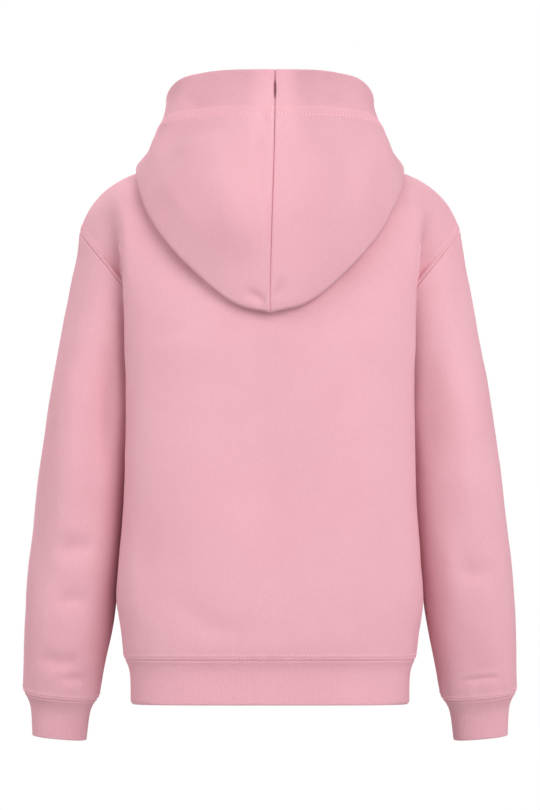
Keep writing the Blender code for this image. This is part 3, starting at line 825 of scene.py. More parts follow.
    def build(self, name: str, node: str, slot: str, thickness: float,
              finishes: Sequence[bpy.types.Material]) -> bpy.types.Object:
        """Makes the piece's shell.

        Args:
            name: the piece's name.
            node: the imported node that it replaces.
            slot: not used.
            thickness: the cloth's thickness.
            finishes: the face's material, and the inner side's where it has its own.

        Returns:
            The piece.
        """
        rows, columns = self.points.shape[:2]
        mesh = bmesh.new()
        bmesh.ops.create_grid(mesh, x_segments=columns - 1, y_segments=rows - 1, size=0.5)
        cells = {}
        for vert in mesh.verts:
            cell = (round((vert.co.y + 0.5) * (rows - 1)), round((vert.co.x + 0.5) * (columns - 1)))
            cells[vert.index] = cell
        layer = mesh.loops.layers.uv.new("cloth")
        for face in mesh.faces:
            for loop in face.loops:
                loop[layer].uv = self.flat[cells[loop.vert.index]] * MM
            face.smooth = True
        for vert in mesh.verts:
            vert.co = Vector(self.points[cells[vert.index]] * MM)
        if self.closed:
            ends = [v for v in mesh.verts if cells[v.index][1] in (0, columns - 1)]
            bmesh.ops.remove_doubles(mesh, verts=ends, dist=WELD)
        piece = dress(name, mesh, node, finishes)
        shell = piece.modifiers.new("thickness", "SOLIDIFY")
        shell.thickness = thickness * MM
        shell.offset = 0.0
        shell.material_offset = len(finishes) - 1
        return piece


def mesh_data(name: str, mesh: bmesh.types.BMesh,
              finishes: Sequence[bpy.types.Material] = ()) -> bpy.types.Mesh:
    """Turns a bmesh, which is freed, into mesh data with these materials."""
    data = bpy.data.meshes.new(name)
    mesh.to_mesh(data)
    mesh.free()
    for finish in finishes:
        data.materials.append(finish)
    return data


def placed(name: str, data: bpy.types.ID) -> bpy.types.Object:
    """A new object of this mesh, light or camera, in the scene."""
    thing = bpy.data.objects.new(name, data)
    bpy.context.scene.collection.objects.link(thing)
    return thing


def dress(name: str, mesh: bmesh.types.BMesh, node: str | None,
          finishes: Sequence[bpy.types.Material]) -> bpy.types.Object:
    """Makes a finished piece of a bmesh.

    Args:
        name: the piece's name.
        mesh: its mesh, which is freed.
        node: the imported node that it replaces, if any.
        finishes: its materials.

    Returns:
        The piece.
    """
    piece = placed(name, mesh_data(name, mesh, finishes))
    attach(piece, "root")
    if node:
        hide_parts(node)
    LOG.info("%s: %d faces", name, len(piece.data.polygons))
    return piece


# Sewing


@dataclass(frozen=True)
class Thread:
    """Sewing thread as it lies on the cloth, coarse enough to show."""

    pitch: float = 3.6
    gap: float = 0.75
    width: float = 1.35
    height: float = 1.1
    shortest: float = 0.3

    def lay(self, mesh: bmesh.types.BMesh, start: Array, end: Array, way: Array) -> None:
        """Lays one stitch.

        Args:
            mesh: the mesh that it joins.
            start: where it comes up.
            end: where it goes down.
            way: the cloth's outward direction.
        """
        along = end - start
        length = float(np.linalg.norm(along))
        if length < self.shortest:
            return
        along = along / length
        side = unit(np.cross(way, along))
        sizes = np.array((length, self.width, self.height)) / 2.0
        laid = np.eye(4)
        laid[:3, :3] = np.stack((along, side, np.cross(along, side)), axis=1) * sizes * MM
        laid[:3, 3] = (start + end) / 2.0 * MM
        matrix = Matrix(laid.tolist())
        bmesh.ops.create_uvsphere(mesh, u_segments=6, v_segments=4, radius=1.0, matrix=matrix)

    def measured(self, line: tuple[Array, Array]) -> tuple[Array, Array]:
        """A line's points and outward directions at every stitch.

        Args:
            line: points and outward directions.

        Returns:
            The same at equal pitches.
        """
        points, ways = line
        run = run_along(points)
        count = max(1, round(run[-1] / self.pitch))
        marks = np.linspace(0.0, run[-1], count + 1)
        return read_along(points, run, marks), unit(read_along(ways, run, marks))

    def straight(self, name: str, lines: Sequence[tuple[Array, Array]],
                 finish: bpy.types.Material) -> bpy.types.Object:
        """Rows of straight stitches.

        Args:
            name: the piece's name.
            lines: the rows.
            finish: the thread's material.

        Returns:
            The joined stitches.
        """
        mesh = bmesh.new()
        for line in lines:
            row = bmesh.new()
            places, ways = self.measured(line)
            for before, after, way in zip(places, places[1:], ways):
                ease = (after - before) * (self.gap / self.pitch)
                self.lay(row, before + ease, after - ease, way)
            join(mesh, row)
        return dress(name, shaded(mesh), None, (finish,))

    def zigzag(self, name: str, rows: Sequence[tuple[Array, Array]], slot: str,
               finish: bpy.types.Material) -> bpy.types.Object:
        """A covering stitch: a row of stitches on each side, and threads that cross between.

        Args:
            name: the piece's name.
            rows: lines from one side of the stitch to the other.
            slot: not used.
            finish: the thread's material.

        Returns:
            The joined stitches.
        """
        places, ways = self.measured(rows[0])
        marks = np.linspace(0.0, 1.0, len(places))
        runs = [run_along(points) for points, _ in rows]
        lines = np.array([read_along(points, run / run[-1], marks) for (points, _), run in zip(rows, runs)])
        last = len(lines) - 1
        shares = (np.arange(len(lines)) / last / 2.0)[:, None]
        mesh = bmesh.new()
        for here, after, way in zip(lines.swapaxes(0, 1), lines.swapaxes(0, 1)[1:], ways):
            row = bmesh.new()
            rising = here + (after - here) * shares
            falling = after - (after - here) * shares
            for k in range(last):
                self.lay(row, rising[k], rising[k + 1], way)
                self.lay(row, falling[k], falling[k + 1], way)
            ease = (after - here) * (self.gap / self.pitch)
            for k in (0, last):
                self.lay(row, here[k] + ease[k], after[k] - ease[k], way)
            join(mesh, row)
        return dress(name, shaded(mesh), None, (finish,))


def join(mesh: bmesh.types.BMesh, row: bmesh.types.BMesh) -> None:
    """Adds one bmesh to another and frees it, because operators are slow on a large one."""
    data = mesh_data("row", row)
    mesh.from_mesh(data)
    bpy.data.meshes.remove(data)


def shaded(mesh: bmesh.types.BMesh) -> bmesh.types.BMesh:
    """The same bmesh with smooth faces."""
    for face in mesh.faces:
        face.smooth = True
    return mesh


# Materials


def linear(code: str) -> tuple[float, float, float, float]:
    """The linear colour of an sRGB hex code such as ecb2be."""
    parts = [int(code[i:i + 2], 16) / 255.0 for i in (0, 2, 4)]
    parts = [p / 12.92 if p <= 0.04045 else ((p + 0.055) / 1.055) ** 2.4 for p in parts]
    return (*parts, 1.0)


def add(tree: bpy.types.NodeTree, kind: str, links: dict | None = None,
        values: dict | None = None, **settings: object) -> bpy.types.Node:
    """Adds a node with its settings and links.

    Args:
        tree: the material's node tree.
        kind: the node's type.
        links: output socket by input name or index.
        values: constant by input name or index.
        settings: the node's own properties.

    Returns:
        The node.
    """
    node = tree.nodes.new(kind)
    for key, value in settings.items():
        setattr(node, key, value)
    for key, value in (values or {}).items():
        node.inputs[key].default_value = value
    for key, socket in (links or {}).items():
        tree.links.new(socket, node.inputs[key])
    return node


def emptied(owner: bpy.types.Material | bpy.types.World) -> bpy.types.NodeTree:
    """The node tree of a material or world, with nothing in it yet."""
    owner.use_nodes = True
    owner.node_tree.nodes.clear()
    return owner.node_tree


@dataclass(frozen=True)
class KnitFinish:
    """Cotton-rich sweat jersey: fine stitches on its face under a short soft haze of fibre ends.

    The wales are 1 mm apart, or less in the rib, and are drawn as they are. The haze gives the
    colour its faint mottle and the pale bloom at grazing angles. Scales are repeats per metre:
    tufts of fibre ends 2 mm apart, a heather of 1.5 by 0.9 mm along the courses, and clouds of
    110 mm.
    """

    name: str
    base: str
    shade: str
    light: str
    wale: float = 1.0
    course: float = 0.85
    slant: float = 0.8
    stitch: float = 0.35
    fuzz: float = 0.35
    relief: float = 0.0006
    haze_scale: float = 520.0
    heather_scale: tuple[float, float, float] = (650.0, 1150.0, 1.0)
    cloud_scale: float = 9.0
    haze_tone: float = 0.14
    heather_tone: float = 0.24
    cloud_tone: float = 0.1
    mottle: float = 1.0
    roughness: float = 0.92
    sheen: float = 0.25
    sheen_tint: str = "f6c6d1"

    def make(self) -> bpy.types.Material:
        """The material."""
        material = bpy.data.materials.new(self.name)
        tree = emptied(material)
        cloth = add(tree, "ShaderNodeUVMap", uv_map="cloth").outputs["UV"]
        place = add(tree, "ShaderNodeTexCoord").outputs["Object"]
        height = self.stitches(tree, cloth)
        stretched = add(tree, "ShaderNodeMapping", {"Vector": cloth}, {"Scale": self.heather_scale})
        haze = add(tree, "ShaderNodeTexNoise", {"Vector": place},
                   {"Scale": self.haze_scale, "Detail": 4.0, "Roughness": 0.7})
        heather = add(tree, "ShaderNodeTexNoise", {"Vector": stretched.outputs[0]},
                      {"Scale": 1.0, "Detail": 3.0, "Roughness": 0.6})
        cloud = add(tree, "ShaderNodeTexNoise", {"Vector": place},
                    {"Scale": self.cloud_scale, "Detail": 3.0, "Roughness": 0.55})
        # each pattern's spread round 0.5, and the middle and swing of the tone that it gives
        tones = []
        for pattern, spread, middle, swing in ((heather, 0.25, 0.5, self.heather_tone * self.mottle),
                                               (cloud, 0.2, 0.0, self.cloud_tone),
                                               (haze, 0.2, 0.0, self.haze_tone)):
            tone = add(tree, "ShaderNodeMapRange", {"Value": pattern.outputs["Fac"]},
                       {"From Min": 0.5 - spread, "From Max": 0.5 + spread,
                        "To Min": middle - swing, "To Max": middle + swing})
            tones.append(tone.outputs[0])
        total = add(tree, "ShaderNodeMath", {0: tones[0], 1: tones[1]}, operation="ADD")
        total = add(tree, "ShaderNodeMath", {0: total.outputs[0], 1: tones[2]}, operation="ADD")
        ramp = add(tree, "ShaderNodeValToRGB", {"Fac": total.outputs[0]})
        ramp.color_ramp.elements[0].color = linear(self.shade)
        ramp.color_ramp.elements[1].color = linear(self.light)
        middle = ramp.color_ramp.elements.new(0.5)
        middle.color = linear(self.base)
        fuzz = add(tree, "ShaderNodeMath", {0: haze.outputs["Fac"]}, {1: self.fuzz}, operation="MULTIPLY")
        knit = add(tree, "ShaderNodeMath", {0: height}, {1: self.stitch}, operation="MULTIPLY")
        relief = add(tree, "ShaderNodeMath", {0: fuzz.outputs[0], 1: knit.outputs[0]}, operation="ADD")
        bump = add(tree, "ShaderNodeBump", {"Height": relief.outputs[0]},
                   {"Strength": 0.8, "Distance": self.relief})
        shader = add(tree, "ShaderNodeBsdfPrincipled",
                     {"Base Color": ramp.outputs["Color"], "Normal": bump.outputs["Normal"]},
                     {"Roughness": self.roughness, "IOR": 1.45, "Specular IOR Level": 0.25,
                      "Sheen Weight": self.sheen, "Sheen Roughness": 0.5,
                      "Sheen Tint": linear(self.sheen_tint)})
        add(tree, "ShaderNodeOutputMaterial", {"Surface": shader.outputs["BSDF"]})
        return material

    def stitches(self, tree: bpy.types.NodeTree, cloth: bpy.types.NodeSocket) -> bpy.types.NodeSocket:
        """Height of the knitted stitches: columns of slanting loops."""
        apart = add(tree, "ShaderNodeSeparateXYZ", {"Vector": cloth})
        wale = add(tree, "ShaderNodeMath", {0: apart.outputs["X"]},
                   {1: MM_PER_METRE / self.wale}, operation="MULTIPLY")
        column = add(tree, "ShaderNodeMath", {0: wale.outputs[0]}, {1: 1.0}, operation="PINGPONG")
        course = add(tree, "ShaderNodeMath", {0: apart.outputs["Y"]},
                     {1: MM_PER_METRE / self.course}, operation="MULTIPLY")
        slant = add(tree, "ShaderNodeMath", {0: column.outputs[0], 2: course.outputs[0]},
                    {1: self.slant}, operation="MULTIPLY_ADD")
        turn = add(tree, "ShaderNodeMath", {0: slant.outputs[0]}, {1: math.tau}, operation="MULTIPLY")
        wave = add(tree, "ShaderNodeMath", {0: turn.outputs[0]}, operation="SINE")
        ridge = add(tree, "ShaderNodeMath", {0: column.outputs[0]}, {1: math.pi}, operation="MULTIPLY")
        ridge = add(tree, "ShaderNodeMath", {0: ridge.outputs[0]}, operation="SINE")
        both = add(tree, "ShaderNodeMath", {0: wave.outputs[0], 2: ridge.outputs[0]},
                   {1: 0.5}, operation="MULTIPLY_ADD")
        return both.outputs[0]


@dataclass(frozen=True)
class ThreadFinish:
    """Spun polyester sewing thread: smoother and a little brighter than the cloth.

    Its plies, 0.4 mm apart, give a fine broken glint.
    """

    name: str
    colour: str
    plies_scale: float = 2400.0

    def make(self) -> bpy.types.Material:
        """The material."""
        material = bpy.data.materials.new(self.name)
        tree = emptied(material)
        place = add(tree, "ShaderNodeTexCoord").outputs["Object"]
        twist = add(tree, "ShaderNodeTexNoise", {"Vector": place},
                    {"Scale": self.plies_scale, "Detail": 2.0})
        bump = add(tree, "ShaderNodeBump", {"Height": twist.outputs["Fac"]},
                   {"Strength": 0.5, "Distance": 0.0002})
        shader = add(tree, "ShaderNodeBsdfPrincipled", {"Normal": bump.outputs["Normal"]},
                     {"Base Color": linear(self.colour), "Roughness": 0.75, "IOR": 1.5,
                      "Specular IOR Level": 0.3})
        add(tree, "ShaderNodeOutputMaterial", {"Surface": shader.outputs["BSDF"]})
        return material


@dataclass(frozen=True)
class Finishes:
    """The garment's materials."""

    face: bpy.types.Material
    inside: bpy.types.Material
    rib: bpy.types.Material
    thread: bpy.types.Material

    @staticmethod
    def make() -> "Finishes":
        """Makes them all."""
        return Finishes(
            face=KnitFinish("sweat_jersey_face", "e9afba", "de9fab", "f1bfc8").make(),
            inside=KnitFinish("sweat_jersey_brushed_inside", "edb8c2", "e2a5b1", "f5ced6",
                              stitch=0.0, fuzz=1.4, mottle=1.3).make(),
            rib=KnitFinish("cotton_rib_knit", "e5aab5", "da9aa7", "eebac4",
                           wale=0.65, course=0.8, stitch=0.25).make(),
            thread=ThreadFinish("spun_polyester_thread", "f5c0cb").make(),
        )


# The garment's pieces


@dataclass
class BodyPanels:
    """The back and front panels, one cut piece each."""

    finishes: Finishes
    form: BodyForm = BodyForm()
    thickness: float = 1.6
    coarse: float = 4.2
    column_zones: tuple[Zone, ...] = (
        Zone(0.0, 3.0, 0.5, True), Zone(0.0, 9.5, 0.75, True), Zone(15.0, 48.0, 1.15, True)
    )
    row_zones: tuple[Zone, ...] = (Zone(0.0, 9.5, 0.6), Zone(0.0, 4.0, 0.7, True))
    # the height and the place across at which the grid's columns and rows are spaced
    measured_up: float = 1.3
    measured_across: float = 0.6
    seam_roll: float = 1.1
    waist_roll: float = 0.5
    stitch: CoverStitch = CoverStitch()
    hole_stitch: CoverStitch = CoverStitch(rows=(2.0, 7.0), swell=0.7, groove=0.2)
    hole_stitch_start: tuple[float, float] = (0.98, 1.03)
    # the pleats where the panel is gathered to the rib: height, reach, start and ripples
    gather: float = 0.8
    gather_reach: float = 26.0
    gather_start: tuple[float, float] = (2.0, 9.0)
    ripples: tuple[float, float] = (4.1, 2.3)
    broad_swell: tuple[float, float] = (70.0, 1.5)
    fine_swell: tuple[float, float] = (24.0, 0.35)
    swell_rest: float = 25.0
    back_creases: tuple[Crease, ...] = (
        # the long fold beside each armhole, deep and steep on the body's side
        Crease(((172.0, -44.0), (163.5, -58.0), (159.0, -75.0), (157.2, -90.0), (156.0, -110.0),
                (155.8, -128.0), (155.6, -146.0)), 10.5, 19.0, 1.8, (0.42, 0.34), True),
        Crease(((-171.0, -43.0), (-162.5, -62.0), (-157.4, -91.0), (-156.2, -112.0),
                (-155.8, -130.0), (-155.6, -148.0)), 10.0, 18.0, 1.8, (0.42, 0.34), True),
        # a dent on the right shoulder, and the drag from the hood
        Crease(((-150.0, -30.0), (-157.0, -41.0), (-163.0, -54.0)), 3.0, 8.0, 7.0),
        Crease(((-112.0, -42.0), (-134.0, -38.0), (-150.0, -48.0)), 2.2, 7.0, 7.0),
        Crease(((118.0, -54.0), (136.0, -46.0), (152.0, -54.0)), 1.6, 8.0, 8.0),
        # wide slack folds down the back
        Crease(((10.0, -190.0), (2.0, -320.0), (-8.0, -470.0)), 4.5, 40.0, 38.0),
        Crease(((92.0, -200.0), (88.0, -340.0), (80.0, -470.0)), -2.8, 30.0, 32.0),
        Crease(((-88.0, -210.0), (-94.0, -350.0), (-90.0, -480.0)), -2.8, 32.0, 32.0),
        Crease(((134.0, -330.0), (128.0, -430.0), (131.0, -500.0)), 2.8, 14.0, 17.0),
        Crease(((-133.0, -300.0), (-128.0, -420.0), (-130.0, -500.0)), 2.2, 14.0, 17.0),
        Crease(((120.0, -450.0), (60.0, -490.0), (-6.0, -500.0)), 2.0, 14.0, 14.0),
        Crease(((60.0, -150.0), (98.0, -178.0), (134.0, -186.0)), 1.8, 13.0, 13.0),
        Crease(((-50.0, -150.0), (-92.0, -166.0), (-130.0, -160.0)), 1.6, 14.0, 14.0),
    )
    front_creases: tuple[Crease, ...] = (
        Crease(((174.0, -48.0), (164.5, -68.0), (160.0, -92.0), (158.0, -115.0), (157.0, -130.0),
                (156.4, -148.0)), 9.5, 22.0, 2.0, (0.45, 0.3), True),
        Crease(((-175.0, -50.0), (-165.0, -70.0), (-160.4, -95.0), (-158.2, -118.0),
                (-157.2, -132.0), (-156.6, -148.0)), 10.5, 23.0, 2.0, (0.45, 0.3), True),
        Crease(((-18.0, -200.0), (-6.0, -330.0), (8.0, -480.0)), 4.0, 42.0, 38.0),
        Crease(((84.0, -190.0), (90.0, -330.0), (80.0, -470.0)), -2.6, 34.0, 34.0),
        Crease(((-92.0, -220.0), (-86.0, -360.0), (-94.0, -480.0)), -2.4, 34.0, 34.0),
        Crease(((132.0, -310.0), (127.0, -420.0), (131.0, -500.0)), 2.4, 14.0, 17.0),
        Crease(((-134.0, -340.0), (-128.0, -440.0), (-131.0, -505.0)), 2.6, 14.0, 17.0),
        Crease(((-124.0, -450.0), (-70.0, -488.0), (-10.0, -498.0)), 2.0, 14.0, 14.0),
        Crease(((58.0, -96.0), (84.0, -118.0), (122.0, -126.0)), 2.2, 12.0, 12.0),
        Crease(((-60.0, -100.0), (-88.0, -128.0), (-120.0, -140.0)), 2.0, 12.0, 12.0),
    )

    def shares(self) -> Array:
        """Shares across a half panel at which its columns lie."""
        return spaced(lambda a: self.form.panel(Facing.BACK, a, np.full_like(a, self.measured_up)),
                      0.0, 1.0, self.coarse, self.column_zones)

    def rises(self, facing: Facing) -> Array:
        """Shares up a panel at which its rows lie."""
        return spaced(lambda u: self.form.panel(facing, np.full_like(u, self.measured_across), u),
                      0.0, 2.0, self.coarse, self.row_zones)

    def cloth(self, facing: Facing) -> Cloth:
        """A panel's creased cloth."""
        rises = self.rises(facing)
        half = self.form.panel(facing, self.shares()[None, :], rises[:, None])
        whole = np.concatenate((mirrored(half[:, :0:-1]), half), axis=1)
        smooth = whole[:, ::-1] if facing is Facing.BACK else whole
        cloth = Cloth(smooth)
        cloth.crease(self.back_creases if facing is Facing.BACK else self.front_creases, facing)
        waist = cloth.from_edge[Edge.BOTTOM]
        run = cloth.flat[..., 0]
        soft = self.gather * np.exp(-waist / self.gather_reach) * smooth_step(waist, *self.gather_start)
        wide, narrow = self.ripples
        cloth.push(soft * (np.sin(run / wide) * 0.5 + np.sin(run / narrow + 1.0) * 0.35))
        cloth.unsettle(smooth, self.broad_swell, 3.0, self.swell_rest)
        cloth.unsettle(whole, self.fine_swell, 9.0, self.swell_rest)
        cloth.push(self.stitch.height(waist))
        armhole = np.minimum(cloth.from_edge[Edge.START], cloth.from_edge[Edge.END])
        yoke = smooth_step(np.broadcast_to(rises[:, None], armhole.shape), *self.hole_stitch_start)
        cloth.push(self.hole_stitch.height(armhole) * yoke)
        for edge in Edge:
            cloth.roll(edge, self.waist_roll if edge is Edge.BOTTOM else self.seam_roll)
        return cloth

    def stitch_lines(self, cloth: Cloth, facing: Facing) -> list[tuple[Array, Array]]:
        """The rows above the waist seam, and those beside the armholes, from the underarm up."""
        lines = self.stitch.seam_lines(cloth, self.thickness)
        first = int(np.searchsorted(self.rises(facing), 1.0))
        for edge in (Edge.START, Edge.END):
            for points, ways in self.hole_stitch.lines(cloth, edge, self.thickness):
                lines.append((points[first:-2], ways[first:-2]))
        return lines

    def build(self) -> list[bpy.types.Object]:
        """Builds both panels and their topstitching.

        Returns:
            The pieces.
        """
        pieces = []
        thread = Thread()
        for facing, node, flat in ((Facing.BACK, "back_panel", (0.50, 0.60)),
                                   (Facing.FRONT, "front_panel", (0.50, 0.59))):
            cloth = self.cloth(facing)
            piece = cloth.build(f"{node}_cloth", node, "fleece", self.thickness,
                                (self.finishes.face, self.finishes.inside))
            rows = thread.straight(f"{node}_topstitching", self.stitch_lines(cloth, facing),
                                   self.finishes.thread)
            cloth.flat_area()
            pieces += [piece, rows]
        return pieces


@dataclass
class Sleeves:
    """The two sleeves, one cut piece each."""

    finishes: Finishes
    form: SleeveForm = SleeveForm()
    thickness: float = 1.6
    coarse: float = 4.2
    # columns are spaced finer than rows, on the ring at this height, and rows along the back
    around_share: float = 0.85
    measured_z: float = -340.0
    measured_turn: float = 90.0
    row_zones: tuple[Zone, ...] = (Zone(0.0, 9.0, 0.6), Zone(9.0, 34.0, 1.8), Zone(0.0, 4.0, 0.7, True))
    seam_roll: float = 1.1
    cuff_roll: float = 0.5
    stitch: CoverStitch = CoverStitch(rows=(2.1, 5.6))
    # the pleats where the sleeve is gathered to the cuff: height, reach, start and their numbers
    gather: float = 0.9
    gather_reach: float = 16.0
    gather_start: tuple[float, float] = (2.0, 8.0)
    pleats: tuple[float, float] = (13.0, 21.0)
    broad_swell: tuple[float, float] = (60.0, 1.4)
    fine_swell: tuple[float, float] = (22.0, 0.35)
    swell_rest: float = 25.0
    left_back: tuple[Crease, ...] = (
        Crease(((170.0, -170.0), (168.0, -260.0), (172.0, -340.0)), 5.3, 12.0, 12.0),
        Crease(((196.0, -190.0), (204.0, -300.0), (214.0, -420.0)), -4.5, 20.0, 20.0),
        Crease(((228.0, -300.0), (240.0, -390.0), (240.0, -480.0)), 3.1, 12.0, 14.0),
        Crease(((186.0, -392.0), (204.0, -408.0), (232.0, -402.0)), 3.6, 11.0, 11.0),
        Crease(((182.0, -452.0), (206.0, -462.0), (226.0, -456.0)), 2.9, 10.0, 10.0),
        Crease(((196.0, -520.0), (220.0, -527.0), (246.0, -520.0)), 3.6, 8.0, 8.0),
        Crease(((186.0, -540.0), (206.0, -545.0), (226.0, -543.0)), 2.7, 6.0, 6.0),
    )
    right_back: tuple[Crease, ...] = (
        Crease(((-170.0, -175.0), (-167.0, -250.0), (-171.0, -330.0)), 1.6, 11.0, 12.0),
        Crease(((-194.0, -180.0), (-206.0, -310.0), (-216.0, -430.0)), -4.9, 22.0, 20.0),
        Crease(((-180.0, -372.0), (-192.0, -440.0), (-200.0, -500.0)), -1.8, 12.0, 12.0),
        Crease(((-190.0, -418.0), (-214.0, -434.0), (-240.0, -424.0)), 2.9, 11.0, 11.0),
        Crease(((-190.0, -549.0), (-212.0, -546.0), (-231.0, -543.5), (-246.0, -544.5)), 2.4, 3.6, 3.2),
        Crease(((-212.0, -531.0), (-228.0, -533.0), (-246.0, -528.0)), 1.2, 5.0, 5.0),
    )
    left_front: tuple[Crease, ...] = (
        Crease(((176.0, -180.0), (174.0, -260.0), (180.0, -330.0)), 4.9, 12.0, 12.0),
        Crease(((204.0, -200.0), (214.0, -320.0), (222.0, -430.0)), -4.1, 20.0, 20.0),
        Crease(((176.0, -330.0), (200.0, -352.0), (232.0, -346.0)), 6.7, 9.0, 9.0),
        Crease(((182.0, -372.0), (206.0, -392.0), (238.0, -382.0)), 5.9, 9.0, 9.0),
        Crease(((190.0, -520.0), (216.0, -527.0), (242.0, -520.0)), 3.6, 7.0, 7.0),
    )
    right_front: tuple[Crease, ...] = (
        Crease(((-175.0, -176.0), (-174.0, -250.0), (-179.0, -320.0)), 4.9, 12.0, 12.0),
        Crease(((-203.0, -200.0), (-213.0, -310.0), (-224.0, -440.0)), -4.1, 20.0, 20.0),
        Crease(((-178.0, -346.0), (-204.0, -364.0), (-236.0, -352.0)), 6.7, 9.0, 9.0),
        Crease(((-186.0, -396.0), (-212.0, -412.0), (-240.0, -400.0)), 4.9, 10.0, 10.0),
        Crease(((-194.0, -530.0), (-220.0, -537.0), (-244.0, -529.0)), 4.1, 7.0, 7.0),
    )

    def cloth(self, hand: Hand) -> Cloth:
        """A sleeve's creased cloth."""
        alongs = spaced(lambda a: self.form.point(np.full_like(a, self.measured_turn), a),
                        2.0, 0.0, self.coarse, self.row_zones)
        turns = spaced(lambda t: self.form.ring(self.form.levels, np.full_like(t, self.measured_z), t),
                       0.0, 360.0, self.coarse * self.around_share)
        points = self.form.point(turns[None, :], alongs[:, None])
        if hand is Hand.RIGHT:
            points = mirrored(points[:, ::-1])
        cloth = Cloth(points, closed=True)
        left = hand is Hand.LEFT
        cloth.crease(self.left_back if left else self.right_back, Facing.BACK)
        cloth.crease(self.left_front if left else self.right_front, Facing.FRONT)
        wrist = cloth.from_edge[Edge.BOTTOM]
        around = np.broadcast_to(np.radians(turns)[None, :], wrist.shape)
        soft = self.gather * np.exp(-wrist / self.gather_reach) * smooth_step(wrist, *self.gather_start)
        few, many = self.pleats
        cloth.push(soft * (np.sin(few * around + hand.value) * 0.6 + np.sin(many * around) * 0.4))
        cloth.unsettle(points, self.broad_swell, 5.0 + hand.value, self.swell_rest)
        cloth.unsettle(points, self.fine_swell, 7.0 + hand.value, self.swell_rest)
        cloth.push(self.stitch.height(wrist))
        cloth.roll(Edge.BOTTOM, self.cuff_roll)
        cloth.roll(Edge.TOP, self.seam_roll)
        return cloth

    def build(self) -> list[bpy.types.Object]:
        """Builds both sleeves and the topstitching above their cuffs.

        Returns:
            The pieces.
        """
        pieces = []
        for hand in Hand:
            side = hand.name.lower()
            cloth = self.cloth(hand)
            piece = cloth.build(f"sleeve_{side}_cloth", f"sleeve_{side}", "fleece", self.thickness,
                                (self.finishes.face, self.finishes.inside))
            lines = self.stitch.seam_lines(cloth, self.thickness)
            rows = Thread().straight(f"sleeve_{side}_topstitching", lines,
                                     self.finishes.thread)
            cloth.flat_area()
            pieces += [piece, rows]
        return pieces


